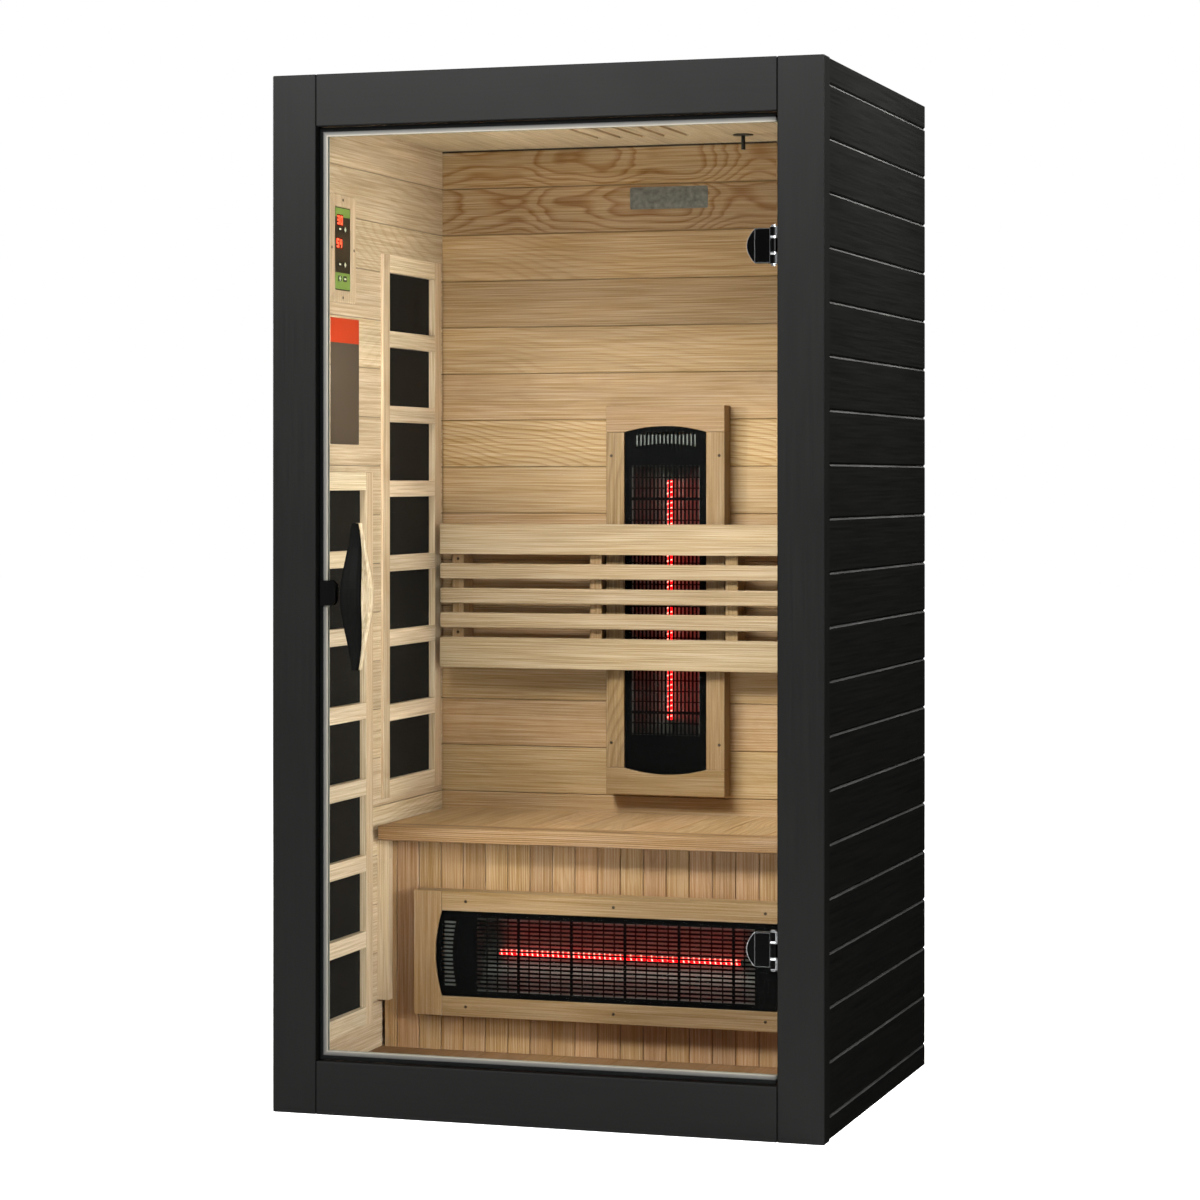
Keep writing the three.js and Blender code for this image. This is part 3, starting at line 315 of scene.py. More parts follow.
def softwood(name, along, across, pale, ring, figure, seed, pitch=None, start=0.0, showy_from=None,
             ceiling_shadow_at=None):
    material, tree = begin(name)
    place = add(tree, "ShaderNodeTexCoord").outputs["Object"]
    axes = add(tree, "ShaderNodeSeparateXYZ", {0: place})
    run, side, depth = (axes.outputs[axis] for axis in (along, across, 3 - along - across))
    number, offset, boards = board_number(tree, side, pitch, start)
    mark = add(tree, "ShaderNodeMath", {0: number, 1: seed}, operation="ADD").outputs[0]
    draw = add(tree, "ShaderNodeTexWhiteNoise", {"W": mark}, noise_dimensions="1D")
    drawn = add(tree, "ShaderNodeSeparateColor", {0: draw.outputs["Color"]})
    chances = [drawn.outputs[at] for at in range(3)]
    first, second, third = chances
    showy = None
    if showy_from:
        after = add(tree, "ShaderNodeMath", {0: number, 1: showy_from - 0.5}, operation="GREATER_THAN")
        showy = after.outputs[0]
    fibre = long_grain(tree, place, along, FIBRE_WIDTH, FIBRE_LENGTH, 3.0)
    ripple = long_grain(tree, place, along, RIPPLE_WIDTH, RIPPLE_LENGTH, 2.0)
    year = ring_year(tree, mark, chances, run, offset, depth, ripple, showy)
    rings = add(tree, "ShaderNodeValToRGB", {0: year})
    for stop in rings.color_ramp.elements:
        stop.color = linear(pale)
    rings.color_ramp.elements.new(LATE_WOOD).color = linear(ring)
    rings.color_ramp.elements.new(EARLY_WOOD).color = linear(pale)

    # Some boards are boldly figured and most are plain.
    bold = add(tree, "ShaderNodeMath", {0: second, 1: third}, operation="MULTIPLY")
    strength = add(tree, "ShaderNodeMapRange", {0: bold.outputs[0], 1: 0.3, 2: 0.75, 3: figure[0],
                                                4: figure[1]}).outputs[0]
    if showy:
        least = add(tree, "ShaderNodeMath", {0: showy, 1: SHOWY_FIGURE}, operation="MULTIPLY")
        strength = add(tree, "ShaderNodeMath", {0: strength, 1: least.outputs[0]},
                       operation="MAXIMUM").outputs[0]
    figured = add(tree, "ShaderNodeMix", {0: strength, 6: linear(pale), 7: rings.outputs["Color"]},
                  data_type="RGBA")

    # Everything that darkens or lightens the wood is one factor in a row.
    tones = [
        add(tree, "ShaderNodeMapRange", {0: fibre, 1: FIBRE_SPAN[0], 2: FIBRE_SPAN[1], 3: FIBRE_TONES[0],
                                         4: FIBRE_TONES[1]}),
        add(tree, "ShaderNodeMapRange", {0: first, 3: BOARD_TONES[0], 4: BOARD_TONES[1]}),
        add(tree, "ShaderNodeMapRange", {0: ripple, 1: 0.3, 2: 0.7, 3: RIPPLE_TONES[0], 4: RIPPLE_TONES[1]})]
    if pitch:
        share = add(tree, "ShaderNodeMath", {0: boards, 1: 0.5}, operation="PINGPONG")
        away = add(tree, "ShaderNodeMath", {0: share.outputs[0], 1: pitch}, operation="MULTIPLY")
        tones.append(add(tree, "ShaderNodeMapRange", {0: away.outputs[0], 2: JOINT_SHADE, 3: JOINT_TONE}))
    # Painted shadow: the back boards darken in a thin line just under the ceiling.
    if ceiling_shadow_at:
        tones.append(add(tree, "ShaderNodeMapRange", {0: side, 1: ceiling_shadow_at - CEILING_SHADOW_REACH[0],
                                                      2: ceiling_shadow_at - CEILING_SHADOW_REACH[1], 3: 1.0, 4: CEILING_SHADOW_TONE}))
    value = tones[0].outputs[0]
    for tone in tones[1:]:
        value = add(tree, "ShaderNodeMath", {0: value, 1: tone.outputs[0]}, operation="MULTIPLY").outputs[0]
    hue = add(tree, "ShaderNodeMapRange", {0: third, 3: BOARD_HUES[0], 4: BOARD_HUES[1]})
    richness = add(tree, "ShaderNodeMapRange", {0: fibre, 1: FIBRE_SPAN[0], 2: FIBRE_SPAN[1],
                                                3: FIBRE_RICHNESS[0], 4: FIBRE_RICHNESS[1]})
    colour = add(tree, "ShaderNodeHueSaturation", {"Hue": hue.outputs[0], "Value": value,
                                                   "Saturation": richness.outputs[0],
                                                   "Color": figured.outputs[2]})
    grain = add(tree, "ShaderNodeBump", {"Strength": 0.25, "Distance": FIBRE_RELIEF, "Height": fibre})
    rough = add(tree, "ShaderNodeMapRange", {0: year, 3: 0.62, 4: 0.52})
    wood = add(tree, "ShaderNodeBsdfPrincipled", {
        "Base Color": colour.outputs[0], "Roughness": rough.outputs[0], "Specular IOR Level": 0.3,
        "Normal": grain.outputs[0]})
    add(tree, "ShaderNodeOutputMaterial", {"Surface": wood.outputs[0]})
    return material


print("fibres", round(FIBRE_WIDTH / MM, 1), "by", round(FIBRE_LENGTH / MM), "mm")

# %% [markdown]
# All the wood is hemlock, but it doesn't all look alike: boards are sorted, oiled and lit differently. So
# each use has its own pale tone and late-wood tone, and its own grain direction. The two highest boards of
# the back wall are the showy ones, and a painted shadow darkens a thin line along their top, under the
# ceiling.

# %% Kinds of hemlock
X, Y, Z = 0, 1, 2
WALL_PITCH = 95.5 * MM
WALL_START = 40.5 * MM
CEILING_PITCH = 300 * MM
CEILING_START = -600 * MM
FLOOR_PITCH = 90 * MM
FLOOR_START = -540 * MM
BENCH_PITCH = 46 * MM
SHOWY_BOARD = 17

back_boards = softwood("hemlock_back_wall", X, Z, "b1926a", "885c2b", (0.10, 0.6), 3.0, WALL_PITCH,
                       WALL_START, showy_from=SHOWY_BOARD, ceiling_shadow_at=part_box("ceiling_panel")[0].z)
side_boards = softwood("hemlock_side_wall", Y, Z, "d0b899", "b08e68", (0.12, 0.45), 11.0, WALL_PITCH,
                       WALL_START)
ceiling_boards = softwood("hemlock_ceiling", Y, X, "d8c5a3", "bb9e78", (0.3, 0.8), 5.0, CEILING_PITCH,
                          CEILING_START)
floor_boards = softwood("hemlock_floor", Y, X, "866443", "6a4829", (0.3, 0.8), 21.0, FLOOR_PITCH,
                        FLOOR_START)
bench_panel = softwood("hemlock_bench_panel", Z, X, "b59068", "8c6239", (0.25, 0.7), 8.0, BENCH_PITCH)
lath_level = softwood("hemlock_level_lath", X, Z, "ad9475", "917554", (0.2, 0.7), 2.0)
lath_deep = softwood("hemlock_deep_lath", Y, Z, "e2ccae", "c3a681", (0.15, 0.5), 6.0)
lath_upright = softwood("hemlock_upright_lath", Z, Y, "cdb495", "b0906c", (0.15, 0.5), 9.0)
nosing_wood = softwood("hemlock_bench_nosing", X, Z, "a07e59", "633f23", (0.8, 1.0), 4.0)
bench_boards = softwood("hemlock_bench_board", Y, X, "b7976e", "8e6941", (0.4, 0.9), 14.0)
frame_level = softwood("hemlock_heater_level", X, Z, "967955", "745633", (0.15, 0.6), 31.0)
frame_upright = softwood("hemlock_heater_upright", Z, X, "967955", "745633", (0.15, 0.6), 37.0)
print("softwoods:", sum(1 for each in bpy.data.materials if each.name.startswith("hemlock")))

# %% [markdown]
# Outside, the boards carry a thin satin black paint. It hides the colour of the wood but not its grain, so
# the paint is one dark tone with a faint ripple along each board. The ripple breaks the sheen into the soft
# streaks that tell painted wood from plastic. On the side boards a painted highlight makes the paint paler in
# patches where a groove edge faces up, where light from above would catch it. The sheen of the front fades on
# faces that look sideways, which would mirror the white studio at a flat angle.

# %% Black paint
STREAK_WIDTH = 4 * MM
STREAK_LENGTH = 220 * MM
STREAK_RELIEF = 0.25 * MM
CLOUD_SIZE = 166.7 * MM
# Grey of the painted highlight on groove edges that face up.
UP_HIGHLIGHT_GREY = "a8a7a4"


def black_paint(name, along, tone, streak, gloss, fades=False, up_highlight=0.0):
    material, tree = begin(name)
    place = add(tree, "ShaderNodeTexCoord").outputs["Object"]
    streaks = long_grain(tree, place, along, STREAK_WIDTH, STREAK_LENGTH, 4.0)
    noise = add(tree, "ShaderNodeTexNoise", {"Vector": place, "Scale": 1 / CLOUD_SIZE, "Detail": 2.0})
    clouds = noise.outputs["Fac"]
    sheen = add(tree, "ShaderNodeMath", {0: streaks, 1: clouds}, operation="ADD")
    rough = add(tree, "ShaderNodeMapRange", {0: sheen.outputs[0], 1: 0.6, 2: 1.4, 3: 0.44, 4: 0.58})
    shade = add(tree, "ShaderNodeValToRGB", {0: streaks})
    shade.color_ramp.elements[0].color = linear(tone)
    shade.color_ramp.elements[1].color = linear(streak)
    colour = shade.outputs["Color"]
    ripple = add(tree, "ShaderNodeBump", {"Strength": 0.35, "Distance": STREAK_RELIEF, "Height": streaks})
    facing = add(tree, "ShaderNodeSeparateXYZ", {0: add(tree, "ShaderNodeNewGeometry").outputs["Normal"]})
    if fades:
        sideways = add(tree, "ShaderNodeMath", {0: facing.outputs[X]}, operation="ABSOLUTE")
        satin = add(tree, "ShaderNodeMapRange", {0: sideways.outputs[0], 1: 0.3, 2: 0.9, 3: gloss, 4: 0.0})
        gloss = satin.outputs[0]
    # Painted highlight: groove edges that face up turn paler grey in patches.
    if up_highlight:
        upward = add(tree, "ShaderNodeMapRange", {0: facing.outputs[Z], 1: 0.15, 2: 0.7, 3: 0.0, 4: up_highlight})
        patchy = add(tree, "ShaderNodeMath", {0: upward.outputs[0], 1: clouds}, operation="MULTIPLY")
        highlighted = add(tree, "ShaderNodeMix", {0: patchy.outputs[0], 6: colour, 7: linear(UP_HIGHLIGHT_GREY)},
                   data_type="RGBA")
        colour = highlighted.outputs[2]
    paint = add(tree, "ShaderNodeBsdfPrincipled", {
        "Base Color": colour, "Roughness": rough.outputs[0], "Specular IOR Level": gloss,
        "Normal": ripple.outputs[0]})
    add(tree, "ShaderNodeOutputMaterial", {"Surface": paint.outputs[0]})
    return material


paint_upright = black_paint("satin_black_paint_upright", Z, "040404", "0e0e0d", 0.085, fades=True)
paint_level = black_paint("satin_black_paint_level", X, "040404", "0e0e0d", 0.085, fades=True)
paint_side = black_paint("satin_black_paint_side", Y, "030303", "0c0c0b", 0.0, up_highlight=0.1)
paint_handle = black_paint("satin_black_paint_handle", Z, "050505", "0e0e0d", 0.012, fades=True)
print("paints:", paint_upright.name, paint_level.name, paint_side.name, paint_handle.name)

# %% [markdown]
# The door is clear tempered glass. In a path tracer glass stops lamp light unless its shadow is made clear,
# so real glass is mixed with a plain see-through shader for shadow and bounce rays. Window glass has an IOR
# of about 1.5. Here it is far lower, because the white studio would otherwise lie over the room as a veil.

# %% Door glass
GLASS_IOR = 1.04

door_glass, tree = begin("tempered_clear_glass")
rays = add(tree, "ShaderNodeLightPath").outputs
soft = add(tree, "ShaderNodeMath", {0: rays["Is Shadow Ray"], 1: rays["Is Diffuse Ray"]}, operation="MAXIMUM")
clear = add(tree, "ShaderNodeBsdfTransparent", {"Color": linear("fbfdfc")})
solid = add(tree, "ShaderNodeBsdfPrincipled", {
    "Base Color": linear("f4faf7"), "Roughness": 0.0, "IOR": GLASS_IOR, "Transmission Weight": 1.0})
look = add(tree, "ShaderNodeMixShader", {0: soft.outputs[0], 1: solid.outputs[0], 2: clear.outputs[0]})
add(tree, "ShaderNodeOutputMaterial", {"Surface": look.outputs[0]})
print("glass:", door_glass.name, "IOR", GLASS_IOR)

# %% [markdown]
# A strip of clear vinyl closes the gap round three edges of the door. Painted shade makes it dark outside,
# for the shaded gap and black frame behind it, then grey, and a painted highlight makes a pale lip where it
# grips the glass. A colour ramp over the distance from its outer edge draws these three bands. The vinyl lets
# a little light through.

# %% Door seal
SEAL_WIDTH = 16.5 * MM
# Painted shade on the outer band and a painted highlight on the lip.
SEAL_PAINTED_SHADE = "050606"
SEAL_PAINTED_HIGHLIGHT = "8f8a7e"
SEAL_SHADE_AND_LIGHT = ((0.45, "0a0b0b"), (0.55, "4c4c4a"), (0.86, "6c6a65"), (0.92, SEAL_PAINTED_HIGHLIGHT))

seal_low, seal_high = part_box("door_seal")
clear_vinyl, tree = begin("clear_vinyl_seal")
axes = add(tree, "ShaderNodeSeparateXYZ", {0: add(tree, "ShaderNodeTexCoord").outputs["Object"]})
from_left = add(tree, "ShaderNodeMath", {0: axes.outputs[X], 1: seal_low.x}, operation="SUBTRACT")
from_base = add(tree, "ShaderNodeMath", {0: axes.outputs[Z], 1: seal_low.z}, operation="SUBTRACT")
from_top = add(tree, "ShaderNodeMath", {0: seal_high.z, 1: axes.outputs[Z]}, operation="SUBTRACT")
ends = add(tree, "ShaderNodeMath", {0: from_base.outputs[0], 1: from_top.outputs[0]}, operation="MINIMUM")
inward = add(tree, "ShaderNodeMath", {0: from_left.outputs[0], 1: ends.outputs[0]}, operation="MINIMUM")
share = add(tree, "ShaderNodeMath", {0: inward.outputs[0], 1: SEAL_WIDTH}, operation="DIVIDE")
# Painted shade outside, grey between, and a painted highlight on the lip.
shade_and_light_bands = add(tree, "ShaderNodeValToRGB", {0: share.outputs[0]})
shade_and_light_bands.color_ramp.elements[0].color = linear(SEAL_PAINTED_SHADE)
shade_and_light_bands.color_ramp.elements[1].color = linear(SEAL_PAINTED_HIGHLIGHT)
for place, code in SEAL_SHADE_AND_LIGHT:
    shade_and_light_bands.color_ramp.elements.new(place).color = linear(code)
vinyl = add(tree, "ShaderNodeBsdfPrincipled", {
    "Base Color": shade_and_light_bands.outputs["Color"], "Roughness": 0.25, "IOR": 1.2, "Transmission Weight": 0.25,
    "Specular IOR Level": 0.05})
add(tree, "ShaderNodeOutputMaterial", {"Surface": vinyl.outputs[0]})
print("seal", round(SEAL_WIDTH / MM, 1), "mm wide")

# %% [markdown]
# Most small parts have an even finish: moulded plastic, coated or bare metal, ceramic, printed film. One
# function serves them all, with a tone that drifts between two codes, a roughness that drifts with it and a
# slight relief. What sets them apart is the grain size of that drift, the roughness and the metal.

# %% Even finishes
ROUGHNESS_DRIFT = 0.15
GRIT_RELIEF = 0.02 * MM


def even_finish(name, low, high, roughness, grit, metallic=0.0, **sockets):
    material, tree = begin(name)
    place = add(tree, "ShaderNodeTexCoord").outputs["Object"]
    noise = add(tree, "ShaderNodeTexNoise", {"Vector": place, "Scale": 1 / grit, "Detail": 2.0})
    drift = noise.outputs["Fac"]
    shade = add(tree, "ShaderNodeValToRGB", {0: drift})
    shade.color_ramp.elements[0].color = linear(low)
    shade.color_ramp.elements[1].color = linear(high)
    rough = add(tree, "ShaderNodeMapRange", {0: drift, 3: roughness * (1 - ROUGHNESS_DRIFT),
                                             4: roughness * (1 + ROUGHNESS_DRIFT)})
    relief = add(tree, "ShaderNodeBump", {"Strength": 0.3, "Distance": GRIT_RELIEF, "Height": drift})
    surface = add(tree, "ShaderNodeBsdfPrincipled", {
        "Base Color": shade.outputs["Color"], "Roughness": rough.outputs[0], "Metallic": metallic,
        "Normal": relief.outputs[0]})
    for socket, value in sockets.items():
        surface.inputs[socket.replace("_", " ")].default_value = value
    add(tree, "ShaderNodeOutputMaterial", {"Surface": surface.outputs[0]})
    return material


# Carbon film is dull and nearly even, a dark sheet without a sheen.
carbon_film = even_finish("carbon_fibre_film", "0e0e0e", "171717", 0.62, 1.2 * MM, Specular_IOR_Level=0.1)
# The rolled trough spreads the red of the tube over its whole width.
trough_aluminium = even_finish("rolled_aluminium", "55534f", "6a6863", 0.5, 8 * MM, metallic=1.0)
# The tray behind the vents is zinc-coated and shows as pale bars in the slots.
vent_tray = even_finish("galvanised_steel_tray", "7c7b77", "96958f", 0.45, 6 * MM, metallic=1.0)
# Baked powder is a deep, even black with hardly a highlight.
black_steel = even_finish("powder_coated_black_steel", "030303", "060606", 0.5, 0.8 * MM,
                          Specular_IOR_Level=0.02)
# Moulded ABS is a soft black with a broad highlight.
black_abs = even_finish("black_abs_plastic", "121110", "1a1918", 0.38, 0.7 * MM)
# Fired ceramic is chalky white; its grey is painted shade, for the shade of the trough.
ceramic = even_finish("white_ceramic_painted_grey", "4a463f", "5c574f", 0.9, 2 * MM, Specular_IOR_Level=0.05)
# Bronzed steel is a brown metal, a dark dot on the pale wood.
screw_steel = even_finish("bronzed_screw_steel", "3a2a1c", "5a4530", 0.35, 1 * MM, metallic=0.8)
# Brushed aluminium mirrors the wood around it in uneven greys.
brushed_plate = even_finish("brushed_aluminium_plate", "4a4741", "8e8a82", 0.3, 9 * MM, metallic=1.0)
# Printed vinyl is flat colour under a faint sheen.
card_brown = even_finish("printed_vinyl_brown", "40352c", "4a3e34", 0.5, 1 * MM)
card_orange = even_finish("printed_vinyl_orange", "b02c0c", "b8340f", 0.5, 1 * MM)
# Polished chrome is a bright, sharp mirror.
chrome = even_finish("polished_chrome", "c4c6c8", "d6d8da", 0.1, 20 * MM, metallic=1.0)
print("even finishes ready, roughness drifts by", ROUGHNESS_DRIFT)

# %% [markdown]
# The hinges are black chromed zinc, a dark mirror: the faces stay black and the rounded rims carry a painted
# highlight, a bright line. The Bevel node finds those rims, because near an edge it turns the surface away
# from its true direction, and there the black gives way to a painted highlight of bright metal colour.

# %% Black chrome
GLINT_RADIUS = 1.8 * MM
GLINT_START, GLINT_FULL = 0.97, 0.80

black_chrome, tree = begin("black_chromed_zinc")
rounded_normal = add(tree, "ShaderNodeBevel", {"Radius": GLINT_RADIUS}, samples=8)
flat_normal = add(tree, "ShaderNodeNewGeometry").outputs["True Normal"]
turn = add(tree, "ShaderNodeVectorMath", {0: rounded_normal.outputs[0], 1: flat_normal},
           operation="DOT_PRODUCT")
# Painted highlight: near an edge the colour turns bright and metallic.
rim = add(tree, "ShaderNodeMapRange", {0: turn.outputs["Value"], 1: GLINT_START, 2: GLINT_FULL, 3: 0.0, 4: 1.0})
sheen = add(tree, "ShaderNodeMix", {0: rim.outputs[0], 6: linear("020202"), 7: linear("c8cacc")},
            data_type="RGBA")
mirror = add(tree, "ShaderNodeBsdfPrincipled", {
    "Base Color": sheen.outputs[2], "Metallic": rim.outputs[0], "Roughness": 0.15,
    "Specular IOR Level": 0.02})
add(tree, "ShaderNodeOutputMaterial", {"Surface": mirror.outputs[0]})
print("black chrome rims:", round(GLINT_RADIUS / MM, 1), "mm")

# %% [markdown]
# Three things give off light: the coil, the red quartz around it and the segments of the display. A lamp
# could stand in for each, but a surface that emits is simpler and also shows its own shape. A slow noise
# makes the heat uneven, as it is along a real coil.

# %% Glowing finishes
def glowing(name, code, strength, uneven, span):
    material, tree = begin(name)
    place = add(tree, "ShaderNodeTexCoord").outputs["Object"]
    noise = add(tree, "ShaderNodeTexNoise", {"Vector": place, "Scale": 1 / span})
    heat = add(tree, "ShaderNodeMapRange", {0: noise.outputs["Fac"], 1: 0.3, 2: 0.7,
                                            3: strength * (1 - uneven), 4: strength * (1 + uneven)})
    hot = add(tree, "ShaderNodeBsdfPrincipled", {
        "Base Color": linear(code), "Roughness": 0.2, "Emission Color": linear(code),
        "Emission Strength": heat.outputs[0]})
    add(tree, "ShaderNodeOutputMaterial", {"Surface": hot.outputs[0]})
    return material


# Hot tungsten burns to a pale pink, hot quartz is a deep red, and a display segment is a flat orange red.
filament = glowing("glowing_tungsten_coil", "ff9282", 4.2, 0.2, 30 * MM)
red_quartz = glowing("red_hot_quartz", "dc0308", 5.0, 0.15, 40 * MM)
led_red = glowing("red_led_segment", "fa5a3c", 1.3, 0.05, 20 * MM)
print("glows:", filament.name, red_quartz.name, led_red.name)

# %% [markdown]
# Every CAD node keeps its mesh and gets a finish. Real edges are never knife sharp, so a Bevel modifier
# rounds them by about a millimetre, where they catch a thin line of light. Curved nodes are shaded smooth.

# %% Dress the CAD nodes
EASE_ANGLE = math.radians(40)


def ease_edges(piece, width):
    if width:
        bevel = piece.modifiers.new("eased_edges", "BEVEL")
        bevel.width = width * MM
        bevel.segments = 2
        bevel.limit_method = "ANGLE"
        bevel.angle_limit = EASE_ANGLE
        bevel.harden_normals = True
    piece.data.shade_smooth()
    piece.data.set_sharp_from_angle(angle=EASE_ANGLE)


def dress(names, material, edge):
    for name in names:
        piece = nodes[name]
        piece.data.materials.clear()
        piece.data.materials.append(material)
        ease_edges(piece, edge)


sides = ("left", "right")
ends = ("rear", "front")
hinges = ("upper", "lower")
keys = [name for name in nodes if name.endswith("_key")]
dress([f"{side}_stile" for side in sides], paint_upright, 1.2)
dress(["top_rail", "bottom_rail"], paint_level, 1.2)
dress([f"{side}_cladding" for side in sides], paint_side, 0.7)
dress(["back_cladding", "roof_cover"], paint_level, 0.7)
dress(["handle_outer"], paint_handle, 0)
dress(["handle_inner"], lath_upright, 0)
dress(["back_lining"], back_boards, 0.5)
dress([f"{side}_lining" for side in sides], side_boards, 0.5)
dress(["ceiling_panel"], ceiling_boards, 0.5)
dress(["floor_panel"], floor_boards, 0.8)
dress(["bench_front_panel"], bench_panel, 0.4)
dress([f"bench_support_{side}" for side in sides], lath_upright, 1.5)
dress([f"backrest_slat_{level}" for level in ("upper", "middle", "lower")], lath_level, 0.8)
dress([f"{side}_{end}_carbon_sheet" for side in sides for end in ends], carbon_film, 0)
dress([f"{heater}_reflector" for heater in ("back_heater", "calf_heater")], trough_aluminium, 0)
dress([f"{hinge}_hinge_{part}" for hinge in hinges for part in ("clamp", "leaf", "pin")], black_chrome, 0.8)
dress(["catch_clip"], black_steel, 0.8)
dress(["control_panel", "control_box", "cable_gland", "temperature_sensor", "catch_magnet"], black_abs, 0.6)
dress(["control_bezel"], lath_upright, 1.5)
dress(keys, black_abs, 0.5)
dress(["door_seal"], clear_vinyl, 0)
dress(["door_glass"], door_glass, 0.6)
print("dressed", sum(1 for each in nodes.values() if each.data.materials), "nodes")

# %% [markdown]
# Some pieces need more than the CAD holds, so they are built again as loose boards. Each board is its own
# island in one mesh: the wood finish gives every island its own figure, and a bevel eases its edges. A box
# is enough for a sawn board, and the corners come from the node that it stands for.

# %% Board builder
def settle(name, build, materials, body="cabin", edge=0.0, stands_for=()):
    mesh = bpy.data.meshes.new(name)
    build.to_mesh(mesh)
    build.free()
    piece = bpy.data.objects.new(name, mesh)
    bpy.context.scene.collection.objects.link(piece)
    for material in materials:
        mesh.materials.append(material)
    if edge:
        ease_edges(piece, edge)
    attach(piece, body)
    if stands_for:
        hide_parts(*stands_for)
    return piece


def paint_faces(verts, slot):
    for face in {face for vertex in verts for face in vertex.link_faces}:
        face.material_index = slot


def box_into(build, low, high, slot=0):
    middle = (Vector(low) + Vector(high)) / 2
    size = Vector(high) - Vector(low)
    made = bmesh.ops.create_cube(build, size=1.0)["verts"]
    for vertex in made:
        vertex.co = middle + Vector(c * s for c, s in zip(vertex.co, size))
    paint_faces(made, slot)


print("board builder ready for", sum(1 for name in nodes if name.endswith("_panel_frame")), "ladders")

# %% [markdown]
# Each carbon heater sits behind a ladder of laths: two uprights with eight rungs let in between them. The
# ladder is built lath by lath, so that the grain turns at every joint, as it does in real joinery.

# %% Ladder frames
LADDER_STILE = 35 * MM
LADDER_RUNG = 32 * MM
LADDER_END = 35 * MM
LADDER_OPENINGS = 7
LATH_GAP = 0.3 * MM


def ladder(node):
    low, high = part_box(node)
    build = bmesh.new()
    inner_front, inner_back = low.y + LADDER_STILE, high.y - LADDER_STILE
    box_into(build, low, (high.x, inner_front, high.z))
    box_into(build, (low.x, inner_back, low.z), high)
    rungs = 2 * LADDER_END + (LADDER_OPENINGS - 1) * LADDER_RUNG
    clear = (high.z - low.z - rungs) / LADDER_OPENINGS
    base = low.z
    for rung in range(LADDER_OPENINGS + 1):
        width = LADDER_END if rung in (0, LADDER_OPENINGS) else LADDER_RUNG
        box_into(build, (low.x, inner_front + LATH_GAP, base),
                 (high.x, inner_back - LATH_GAP, base + width), 1)
        base += width + clear
    name = node.replace("panel_frame", "ladder_laths")
    return settle(name, build, [lath_upright, lath_deep], edge=0.8, stands_for=[node])


ladders = [ladder(f"{side}_{end}_panel_frame") for side in sides for end in ends]
print("ladders:", [piece.name for piece in ladders])

# %% [markdown]
# The bench is a row of boards behind a wider nosing with a rounded edge, all of one thickness. It is built
# board by board from the box of its node, with a hair of space at every joint.

# %% Bench boards
NOSING_DEPTH = 58 * MM
BENCH_BOARDS = 10
BENCH_JOINT = 0.4 * MM

low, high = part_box("bench_top")
build = bmesh.new()
box_into(build, low, (high.x, low.y + NOSING_DEPTH, high.z))
board_width = (high.x - low.x) / BENCH_BOARDS
for board in range(BENCH_BOARDS):
    left = low.x + board * board_width
    box_into(build, (left, low.y + NOSING_DEPTH + BENCH_JOINT, low.z),
             (left + board_width - BENCH_JOINT, high.y, high.z), 1)
settle("bench_boards", build, [nosing_wood, bench_boards], edge=1.6, stands_for=["bench_top"])
print("bench boards:", BENCH_BOARDS, "of", round(board_width / MM, 1), "mm")

# %% [markdown]
# The backrest is two wide slats glued on four upright battens, and the three narrow slats between them are
# CAD nodes of their own. The battens take the darker wood of the heater frames as painted shade, for the
# shade behind the slats.

# %% Backrest boards
BATTEN_WIDTH = 26 * MM
BATTEN_PLACES = (-438 * MM, -142 * MM, 142 * MM, 438 * MM)
WIDE_SLAT = 62 * MM
SLAT_THICKNESS = 16 * MM

low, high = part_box("backrest_frame")
slat_back = low.y + SLAT_THICKNESS
build = bmesh.new()
for base in (low.z, high.z - WIDE_SLAT):
    box_into(build, (low.x, low.y, base), (high.x, slat_back, base + WIDE_SLAT))
for middle in BATTEN_PLACES:
    box_into(build, (middle - BATTEN_WIDTH / 2, slat_back, low.z),
             (middle + BATTEN_WIDTH / 2, high.y, high.z), 1)
# The battens' darker wood is painted shade.
backrest = settle("backrest_boards", build, [lath_level, frame_upright], edge=1.2,
                  stands_for=["backrest_frame"])
print("battens:", len(BATTEN_PLACES), "backrest faces:", len(backrest.data.polygons))

# %% [markdown]
# A heater is a wooden frame, a pressed steel plate with slots and a wire window, a bright trough and a
# quartz tube with a glowing coil. The back heater stands upright and the calf heater lies down, with the
# slots at its left end. One set of functions makes both: they draw in the heater's own flat axes, and a
# small table says where those axes point in the room.

# %% Heater places
class Heater:
    def __init__(self, name, centre, across, along, half, opening, arch, window):
        self.name = name
        self.centre = Vector(centre) * MM
        self.across = Vector(across)
        self.along = Vector(along)
        self.half = half
        self.opening = opening
        self.arch = arch
        self.window = window

    def spot(self, u, v, back):
        return self.centre + (self.across * u + self.along * v + Vector((0, 1, 0)) * back) * MM

    def crown(self, u):
        return self.opening[1] + self.arch * (1 - (u / self.opening[0]) ** 2)


# Millimetres: the middle of the front face, then half sizes of the frame, its opening and the wire window.
heaters = [
    Heater("back_heater", (0, 350.5, 917), across=(1, 0, 0), along=(0, 0, 1),
           half=(124, 392), opening=(86, 338.5), arch=12, window=(75, 271)),
    Heater("calf_heater", (0, 3.5, 240), across=(0, 0, 1), along=(-1, 0, 0),
           half=(121, 407), opening=(83, 350), arch=13, window=(74, 280)),
]
print("heaters:", [heater.name for heater in heaters])

# %% [markdown]
# The frame is four boards. The top and bottom ones run the full width and their inner edges are cut to a
# shallow arch; the two uprights stand between them. Flat boards with a curved edge are drawn as an outline
# that is pushed back to its thickness.

# %% Heater frames
FRAME_DEPTH = 44.7
ARCH_STEPS = 16
BUTT_GAP = 0.3


